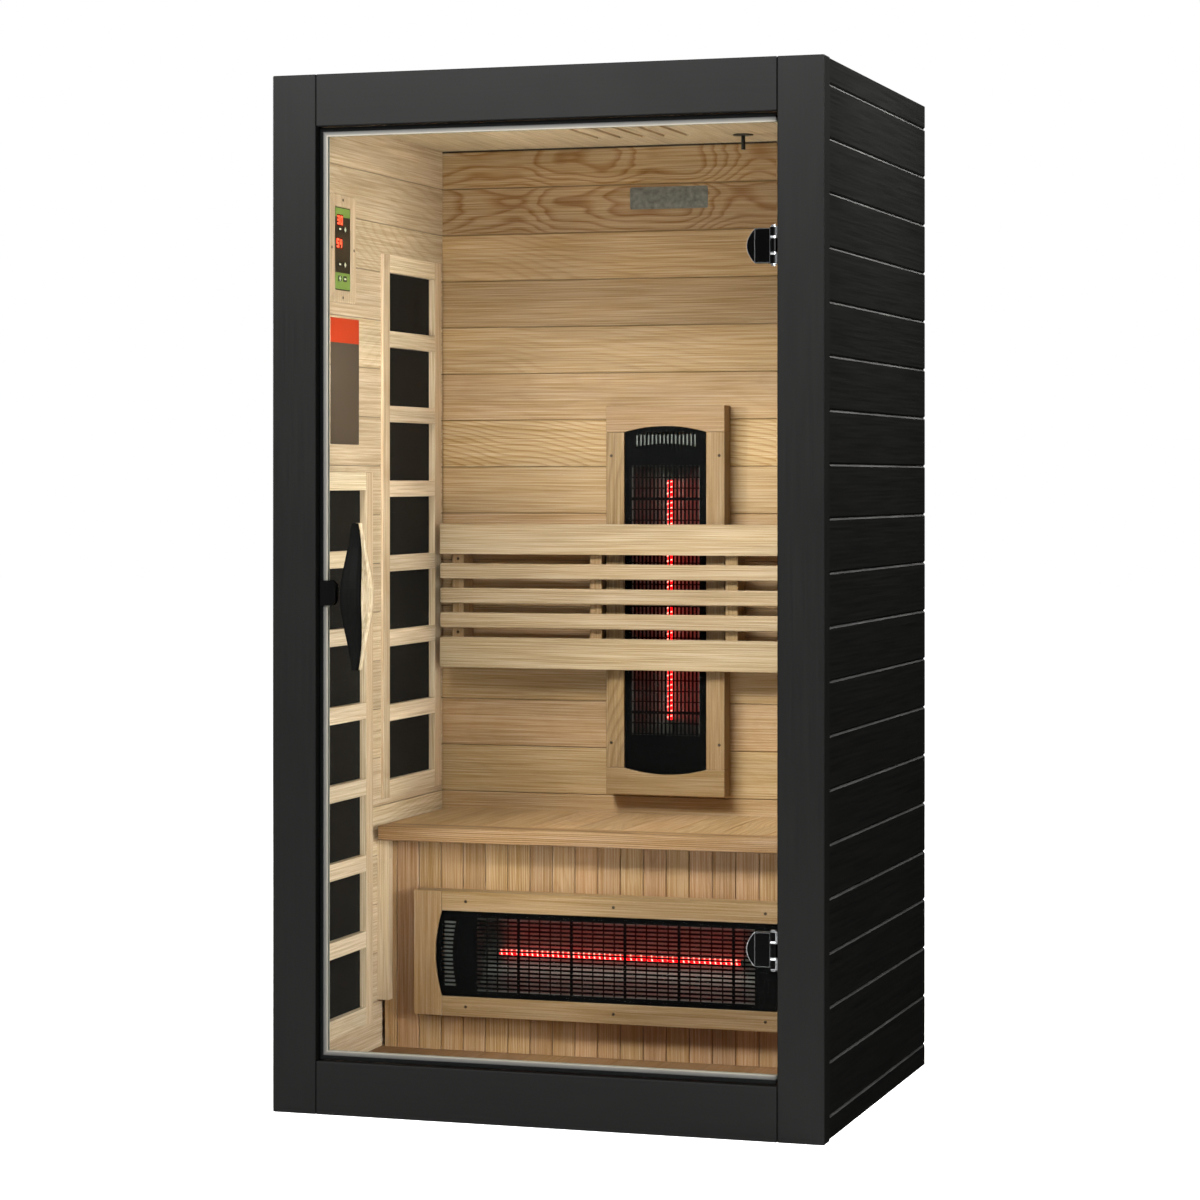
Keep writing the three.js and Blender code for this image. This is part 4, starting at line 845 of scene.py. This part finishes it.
def slab_into(build, spot, outline, front, back, slot=0):
    near, far = ([build.verts.new(spot(u, v, depth)) for u, v in outline] for depth in (front, back))
    faces = [build.faces.new(near), build.faces.new(list(reversed(far)))]
    for at in range(len(outline)):
        after = (at + 1) % len(outline)
        faces.append(build.faces.new([near[after], near[at], far[at], far[after]]))
    for face in faces:
        face.material_index = slot


def oblong(low_u, low_v, high_u, high_v):
    return [(low_u, low_v), (high_u, low_v), (high_u, high_v), (low_u, high_v)]


def arch_steps(half):
    return [half * (2 * at / ARCH_STEPS - 1) for at in range(ARCH_STEPS + 1)]


def heater_frame(heater):
    build = bmesh.new()
    wide, tall = heater.half
    open_wide, open_tall = heater.opening
    for end in (1, -1):
        arch = [(u, end * heater.crown(u)) for u in arch_steps(open_wide)]
        left = [(-wide, end * tall), (-wide, end * open_tall)]
        right = [(wide, end * open_tall), (wide, end * tall)]
        slab_into(build, heater.spot, left + arch + right, 0, FRAME_DEPTH, 0)
    for hand in (1, -1):
        inner, outer = sorted((hand * wide, hand * open_wide))
        stile = oblong(inner, -open_tall + BUTT_GAP, outer, open_tall - BUTT_GAP)
        slab_into(build, heater.spot, stile, 0, FRAME_DEPTH, 1)
    bmesh.ops.recalc_face_normals(build, faces=build.faces)
    woods = [frame_level, frame_upright]
    if heater.name == "calf_heater":
        woods.reverse()
    return settle(heater.name + "_frame_boards", build, woods, edge=1.0,
                  stands_for=[heater.name + "_frame"])


frames = [heater_frame(heater) for heater in heaters]
print("heater frames:", [piece.name for piece in frames])

# %% [markdown]
# The grille is thin black steel. A two-dimensional curve fills an outline and leaves its inner loops open,
# so it is the quickest way to a plate with sixteen slots and a window. The mesh of that curve is then laid
# into the heater's own axes.

# %% Grille plate
GRILLE_SETBACK = 4.0
GRILLE_THICKNESS = 1.4
GRILLE_PLAY = 0.5
BAR_PITCH = 8.1
VENTS = 16
VENT_WIDTH = 4.2
VENT_LENGTH = 24
VENT_RIM = 11


def plate_loops(heater):
    rim = [(u, heater.crown(u) - GRILLE_PLAY) for u in arch_steps(heater.opening[0] - GRILLE_PLAY)]
    window_wide, window_tall = heater.window
    loops = [rim + [(u, -v) for u, v in reversed(rim)],
             oblong(-window_wide, -window_tall, window_wide, window_tall)]
    for vent in range(VENTS):
        u = (vent - (VENTS - 1) / 2) * BAR_PITCH
        top = heater.crown(u) - VENT_RIM
        loops.append(oblong(u - VENT_WIDTH / 2, top - VENT_LENGTH, u + VENT_WIDTH / 2, top))
    return loops


def grille_plate(heater):
    curve = bpy.data.curves.new("grille_outline", "CURVE")
    curve.dimensions = "2D"
    curve.fill_mode = "BOTH"
    curve.extrude = GRILLE_THICKNESS / 2
    for loop in plate_loops(heater):
        spline = curve.splines.new("POLY")
        spline.points.add(len(loop) - 1)
        for point, (u, v) in zip(spline.points, loop):
            point.co = (u, v, 0, 1)
        spline.use_cyclic_u = True
    drawn = bpy.data.objects.new("grille_outline", curve)
    plate = bpy.data.meshes.new_from_object(drawn)
    build = bmesh.new()
    build.from_mesh(plate)
    middle = GRILLE_SETBACK + GRILLE_THICKNESS / 2
    for vertex in build.verts:
        vertex.co = heater.spot(vertex.co.x, vertex.co.y, middle - vertex.co.z)
    bpy.data.objects.remove(drawn)
    bpy.data.curves.remove(curve)
    bpy.data.meshes.remove(plate)
    return build


print("loops in each plate:", [len(plate_loops(heater)) for heater in heaters])

# %% [markdown]
# The bars in the window are flat strips that cross, the cross strips behind the long ones, and every fifth
# cross strip is wider. A zinc-coated tray stands behind the vents and closes the view into the frame.

# %% Grille bars
BAR_WIDTH = 4.0
BAR_SINK = 0.2
CROSS_PITCH = 21.5
CROSS_THIN = 2.6
CROSS_THICK = 6.0
CROSS_DEPTH = 1.0
THICK_EVERY, THICK_FIRST = 5, 2
TRAY_SETBACK = 9.0
TRAY_BELOW = 4
TRAY_SHORT = 6


def grille(heater):
    build = grille_plate(heater)
    wide, tall = heater.window
    front, back = GRILLE_SETBACK + BAR_SINK, GRILLE_SETBACK + GRILLE_THICKNESS
    bars = int(2 * wide / BAR_PITCH)
    for at in range(bars + 1):
        u = (at - bars / 2) * BAR_PITCH
        bar = oblong(u - BAR_WIDTH / 2, -tall, u + BAR_WIDTH / 2, tall)
        slab_into(build, heater.spot, bar, front, back)
    crossings = int(2 * tall / CROSS_PITCH)
    for at in range(crossings + 1):
        v = (at - crossings / 2) * CROSS_PITCH
        width = CROSS_THICK if at % THICK_EVERY == THICK_FIRST else CROSS_THIN
        strip = oblong(-wide, v - width / 2, wide, v + width / 2)
        slab_into(build, heater.spot, strip, back, back + CROSS_DEPTH)
    top = heater.crown(0) - VENT_RIM
    tray = oblong(-wide, top - VENT_LENGTH - TRAY_BELOW, wide, top - TRAY_SHORT)
    slab_into(build, heater.spot, tray, TRAY_SETBACK, TRAY_SETBACK + GRILLE_THICKNESS, 1)
    return settle(heater.name + "_wire_grille", build, [black_steel, vent_tray],
                  stands_for=[heater.name + "_grille"])


grilles = [grille(heater) for heater in heaters]
print("grille faces:", [len(piece.data.polygons) for piece in grilles])

# %% [markdown]
# The tube is red quartz with a white ceramic cap at each end, painted grey as painted shade. The quartz
# itself glows and the caps stay dark, so the tube is one mesh with two finishes. A rod is a cone whose ends
# are equally wide.

# %% Quartz tubes
TUBE_BACK = 40
TUBE_RADIUS = 5.5
TUBE_SIDES = 24
CAP_RADIUS = 7.5
CAP_LENGTH = 26
CAP_OVERLAP = 1
GLOW_HALF = 243


def rod_into(build, start, end, radius, slot):
    line = end - start
    turn = line.to_track_quat("Z", "Y").to_matrix().to_4x4()
    made = bmesh.ops.create_cone(build, cap_ends=True, segments=TUBE_SIDES, radius1=radius * MM,
                                 radius2=radius * MM, depth=line.length,
                                 matrix=Matrix.Translation((start + end) / 2) @ turn)
    paint_faces(made["verts"], slot)


def quartz_tube(heater):
    build = bmesh.new()
    bottom, top = (heater.spot(0, v, TUBE_BACK) for v in (-GLOW_HALF, GLOW_HALF))
    rod_into(build, bottom, top, TUBE_RADIUS, 0)
    for end in (-1, 1):
        inner = heater.spot(0, end * (GLOW_HALF - CAP_OVERLAP), TUBE_BACK)
        outer = heater.spot(0, end * (GLOW_HALF + CAP_LENGTH), TUBE_BACK)
        rod_into(build, inner, outer, CAP_RADIUS, 1)
    return settle(heater.name + "_quartz", build, [red_quartz, ceramic], edge=0.8,
                  stands_for=[heater.name + "_tube"])


tubes = [quartz_tube(heater) for heater in heaters]
print("tubes:", [piece.name for piece in tubes])

# %% [markdown]
# The filament is a coil, far brighter than the quartz, and shows as a row of hot dots. A helix is a formula,
# so the coil is a curve with round thickness. It is drawn just outside the quartz, because the glowing
# quartz would hide it.

# %% Filament coils
COIL_RADIUS = 6.3
COIL_PITCH = 10.5
COIL_WIRE = 1.15
COIL_STEPS = 12


def filament_coil(heater):
    name = heater.name + "_coil"
    curve = bpy.data.curves.new(name, "CURVE")
    curve.dimensions = "3D"
    curve.bevel_depth = COIL_WIRE * MM
    curve.bevel_resolution = 1
    spline = curve.splines.new("POLY")
    count = int(2 * GLOW_HALF / COIL_PITCH * COIL_STEPS)
    spline.points.add(count)
    for at, point in enumerate(spline.points):
        angle = 2 * math.pi * at / COIL_STEPS
        u, depth = COIL_RADIUS * math.cos(angle), COIL_RADIUS * math.sin(angle)
        v = GLOW_HALF * (2 * at / count - 1)
        point.co = (*heater.spot(u, v, TUBE_BACK + depth), 1)
    curve.materials.append(filament)
    coil = bpy.data.objects.new(name, curve)
    bpy.context.scene.collection.objects.link(coil)
    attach(coil, "cabin")
    return coil


coils = [filament_coil(heater) for heater in heaters]
print("coils:", [(coil.name, len(coil.data.splines[0].points)) for coil in coils])

# %% [markdown]
# The control panel is a black plate with a printed film on it: a green band at each end and a dark field
# between them. The film is a fraction of a millimetre thick, so three thin boxes on the plate make it.

# %% Control film
FILM = 0.15 * MM
FILM_MARGIN = 1.5 * MM
FILM_GRIT = 1.5 * MM
GREEN_TOP = 17 * MM
GREEN_BOTTOM = 31 * MM

# Printed film is smooth, with a soft highlight over flat ink.
film_green = even_finish("printed_film_green", "6f8a3c", "819a4e", 0.4, FILM_GRIT)
film_dark = even_finish("printed_film_brown_black", "201b15", "2b251d", 0.35, FILM_GRIT)

panel_low, panel_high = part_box("control_panel")
panel_y = (panel_low.y + panel_high.y) / 2
panel_z = (panel_low.z + panel_high.z) / 2
face_x = panel_high.x
left, right = panel_low.y + FILM_MARGIN, panel_high.y - FILM_MARGIN
bottom, top = panel_low.z + FILM_MARGIN, panel_high.z - FILM_MARGIN
build = bmesh.new()
for base, head, slot in ((top - GREEN_TOP, top, 0), (bottom, bottom + GREEN_BOTTOM, 0),
                         (bottom + GREEN_BOTTOM, top - GREEN_TOP, 1)):
    box_into(build, (face_x, left, base), (face_x + FILM, right, head), slot)
settle("control_film", build, [film_green, film_dark])
print("film on", round(right - left, 4), "by", round(top - bottom, 4), "m")

# %% [markdown]
# Two number windows show plain numbers, one for the minutes and one for the heat. A digit is made of up to
# seven lit bars, named a to g from the top clockwise to the middle one, so a short table of letters spells
# every digit that is needed. The bars glow in front of a dim red pane.

# %% Number windows
SEGMENTS = {"0": "abcdef", "3": "abgcd", "4": "fgbc", "5": "afgcd"}
DIGIT_WIDTH = 11 * MM
DIGIT_HEIGHT = 17 * MM
DIGIT_STROKE = 3.6 * MM
DIGIT_STEP = 15 * MM
WINDOW_MARGIN = 2.5 * MM
MINUTES_PLACE = (-14 * MM, 54 * MM)
HEAT_PLACE = (-17 * MM, 10 * MM)

# Smoked acrylic is a dim, glossy red.
window_red = even_finish("smoked_red_window", "6a2014", "7c2a1a", 0.25, FILM_GRIT)


def digit_into(build, sign, y, z):
    half_wide, half_tall = (DIGIT_WIDTH - DIGIT_STROKE) / 2, (DIGIT_HEIGHT - DIGIT_STROKE) / 2
    level = {"a": (0, half_tall), "g": (0, 0), "d": (0, -half_tall)}
    upright = {"b": (half_wide, half_tall / 2), "c": (half_wide, -half_tall / 2),
               "e": (-half_wide, -half_tall / 2), "f": (-half_wide, half_tall / 2)}
    for segment in SEGMENTS[sign]:
        flat = segment in level
        dy, dz = level[segment] if flat else upright[segment]
        wide = DIGIT_WIDTH if flat else DIGIT_STROKE
        tall = DIGIT_STROKE if flat else DIGIT_HEIGHT / 2
        box_into(build, (face_x + FILM, y + dy - wide / 2, z + dz - tall / 2),
                 (face_x + 3 * FILM, y + dy + wide / 2, z + dz + tall / 2))


def number_window(name, digits, place):
    build = bmesh.new()
    y, z = panel_y + place[0], panel_z + place[1]
    span = DIGIT_STEP * (len(digits) - 1)
    for at, sign in enumerate(digits):
        digit_into(build, sign, y - span / 2 + at * DIGIT_STEP, z)
    half_wide = (span + DIGIT_WIDTH) / 2 + WINDOW_MARGIN
    half_tall = DIGIT_HEIGHT / 2 + WINDOW_MARGIN
    box_into(build, (face_x, y - half_wide, z - half_tall),
             (face_x + 2 * FILM, y + half_wide, z + half_tall), 1)
    return settle(name, build, [led_red, window_red])


windows = [number_window("minutes_window", "30", MINUTES_PLACE),
           number_window("heat_window", "54", HEAT_PLACE)]
print("windows:", [piece.name for piece in windows])

# %% [markdown]
# Each key carries a simple pale sign: a bar, or a cross on the keys that raise something. The sign rides on
# the key's own body, so that it goes in with the key when that is pressed.

# %% Key signs
SIGN_LENGTH = 9 * MM
SIGN_STROKE = 3.2 * MM
RISING_SIGNS = ("timer_up_key", "heat_up_key", "power_key")

# Pale ink on film is nearly white and quite matt.
film_pale = even_finish("printed_film_pale", "d4dcc0", "e4ead4", 0.4, FILM_GRIT)

for key in keys:
    low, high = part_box(key)
    y, z = (low.y + high.y) / 2, (low.z + high.z) / 2
    bars = [(SIGN_LENGTH, SIGN_STROKE)]
    if key in RISING_SIGNS:
        bars.append((SIGN_STROKE, SIGN_LENGTH))
    build = bmesh.new()
    for wide, tall in bars:
        box_into(build, (high.x, y - wide / 2, z - tall / 2), (high.x + FILM, y + wide / 2, z + tall / 2))
    settle(key + "_sign", build, [film_pale], body=key)
print("key signs:", len(keys))

# %% [markdown]
# Small bronzed screws hold the frames, the bezel and the backrest. A screw head is a low cone with a flat
# top, and two dark bars that stand a hair above it make the cross recess.

# %% Screw head
SCREW_RADIUS = 3.2 * MM
SCREW_TOP = 0.72
SCREW_RISE = 0.5 * MM
SCREW_SIDES = 16
RECESS_LENGTH = 3.4 * MM
RECESS_WIDTH = 0.9 * MM
RECESS_RISE = 1.1

# A deep recess shows as flat shadow.
recess_dark = even_finish("screw_recess_shadow", "0a0705", "120d09", 0.7, 1 * MM)


def screw_into(build, spot, out):
    turn = Vector(out).to_track_quat("Z", "Y").to_matrix().to_4x4()
    seat = Matrix.Translation(Vector(spot)) @ turn
    bmesh.ops.create_cone(build, cap_ends=True, segments=SCREW_SIDES, radius1=SCREW_RADIUS,
                          radius2=SCREW_RADIUS * SCREW_TOP, depth=SCREW_RISE,
                          matrix=seat @ Matrix.Translation((0, 0, SCREW_RISE / 2)))
    for wide, tall in ((RECESS_LENGTH, RECESS_WIDTH), (RECESS_WIDTH, RECESS_LENGTH)):
        made = bmesh.ops.create_cube(build, size=1.0)["verts"]
        for vertex in made:
            x, y, z = vertex.co
            vertex.co = seat @ Vector((x * wide, y * tall, (z + 0.5) * SCREW_RISE * RECESS_RISE))
        paint_faces(made, 1)


print("screw head", round(2 * SCREW_RADIUS / MM, 1), "mm wide")

# %% [markdown]
# Every screw goes into one mesh. The heaters' screws are placed in the heater's own axes, the others from
# the boxes of the bezel and the backrest, and each is turned to face out of the wood.

# %% Screws
HEATER_SCREWS = {
    "back_heater": [(u, v) for u in (-113, 113) for v in (-288, 291)],
    "calf_heater": [(u, v) for u in (-102, 102) for v in (-300, 0, 300)],
}
BEZEL_INSET = 10 * MM
BATTEN_SCREWS = (848.5 * MM, 998.5 * MM)
TO_FRONT, TO_RIGHT = (0, -1, 0), (1, 0, 0)

build = bmesh.new()
for heater in heaters:
    for u, v in HEATER_SCREWS[heater.name]:
        screw_into(build, heater.spot(u, v, 0), TO_FRONT)
bezel_low, bezel_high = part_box("control_bezel")
for z in (bezel_low.z + BEZEL_INSET, bezel_high.z - BEZEL_INSET):
    screw_into(build, (bezel_high.x, panel_y, z), TO_RIGHT)
for y in (bezel_low.y + BEZEL_INSET, bezel_high.y - BEZEL_INSET):
    screw_into(build, (bezel_high.x, y, panel_z), TO_RIGHT)
for x in (BATTEN_PLACES[0], BATTEN_PLACES[-1]):
    for z in BATTEN_SCREWS:
        screw_into(build, (x, slat_back, z), TO_FRONT)
screws = settle("frame_screws", build, [screw_steel, recess_dark])
print("screw faces:", len(screws.data.polygons))

# %% [markdown]
# Each hinge has a bright ring where its turning knuckle meets a fixed one. A ring is a small profile carried
# round the pin, so the loop below places the same six points at every step of a circle.

# %% Hinge rings
RING_INNER = 6.3 * MM
RING_OUTER = 7.3 * MM
RING_EASE = 0.3 * MM
RING_HEIGHT = 3.2 * MM
RING_GAP = 0.4 * MM
RING_SIDES = 32
TURNING_HALF = 13 * MM


def ring_into(build, x, y, base):
    top = base + RING_HEIGHT
    eased = RING_OUTER - RING_EASE
    profile = [(RING_INNER, base), (eased, base), (RING_OUTER, base + RING_EASE),
               (RING_OUTER, top - RING_EASE), (eased, top), (RING_INNER, top)]
    loops = []
    for step in range(RING_SIDES):
        angle = 2 * math.pi * step / RING_SIDES
        east, north = math.cos(angle), math.sin(angle)
        loops.append([build.verts.new((x + r * east, y + r * north, z)) for r, z in profile])
    for step, loop in enumerate(loops):
        beside = loops[(step + 1) % RING_SIDES]
        for at in range(len(profile)):
            after = (at + 1) % len(profile)
            build.faces.new([loop[at], beside[at], beside[after], loop[after]])


build = bmesh.new()
for hinge in hinges:
    low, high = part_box(f"{hinge}_hinge_pin")
    middle = (low + high) / 2
    ring_into(build, middle.x, middle.y, middle.z + TURNING_HALF + RING_GAP)
    ring_into(build, middle.x, middle.y, middle.z - TURNING_HALF - RING_GAP - RING_HEIGHT)
hinge_rings = settle("hinge_rings", build, [chrome])
print("ring faces:", len(hinge_rings.data.polygons))

# %% [markdown]
# Two plain plates hang on the walls: a brushed metal strip high on the back wall and a printed card on the
# left one. Both are blank. They are thin, with rounded corners, and lie flat on the boards, so they are
# slabs like the heater boards, drawn on the wall that carries them.

# %% Wall plates
STRIP = (-87 * MM, 1708 * MM, 77 * MM, 1753 * MM)
STRIP_CORNER = 4 * MM
STRIP_THICKNESS = 0.8 * MM
CARD_LEFT, CARD_RIGHT = -214.5 * MM, -70 * MM
CARD_LEVELS = (1227 * MM, 1421 * MM, 1468 * MM)
CARD_CORNER = 1 * MM
CARD_THICKNESS = 0.5 * MM
CORNER_STEPS = 5


def rounded(low_u, low_v, high_u, high_v, radius):
    points = []
    corners = oblong(low_u + radius, low_v + radius, high_u - radius, high_v - radius)
    for turn, (u, v) in enumerate(corners):
        for step in range(CORNER_STEPS + 1):
            angle = math.radians(180 + 90 * (turn + step / CORNER_STEPS))
            points.append((u + radius * math.cos(angle), v + radius * math.sin(angle)))
    return points


wall_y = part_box("back_lining")[0].y
wall_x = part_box("left_lining")[1].x


def on_back_wall(u, v, out):
    return u, wall_y - out, v


def on_left_wall(u, v, out):
    return wall_x + out, u, v


build = bmesh.new()
slab_into(build, on_back_wall, rounded(*STRIP, STRIP_CORNER), STRIP_THICKNESS, 0)
bmesh.ops.recalc_face_normals(build, faces=build.faces)
metal_strip = settle("blank_metal_strip", build, [brushed_plate])
build = bmesh.new()
for slot in (0, 1):
    field = rounded(CARD_LEFT, CARD_LEVELS[slot], CARD_RIGHT, CARD_LEVELS[slot + 1], CARD_CORNER)
    slab_into(build, on_left_wall, field, CARD_THICKNESS, 0, slot)
bmesh.ops.recalc_face_normals(build, faces=build.faces)
wall_card = settle("blank_wall_card", build, [card_brown, card_orange])
print("plates:", metal_strip.name, wall_card.name)
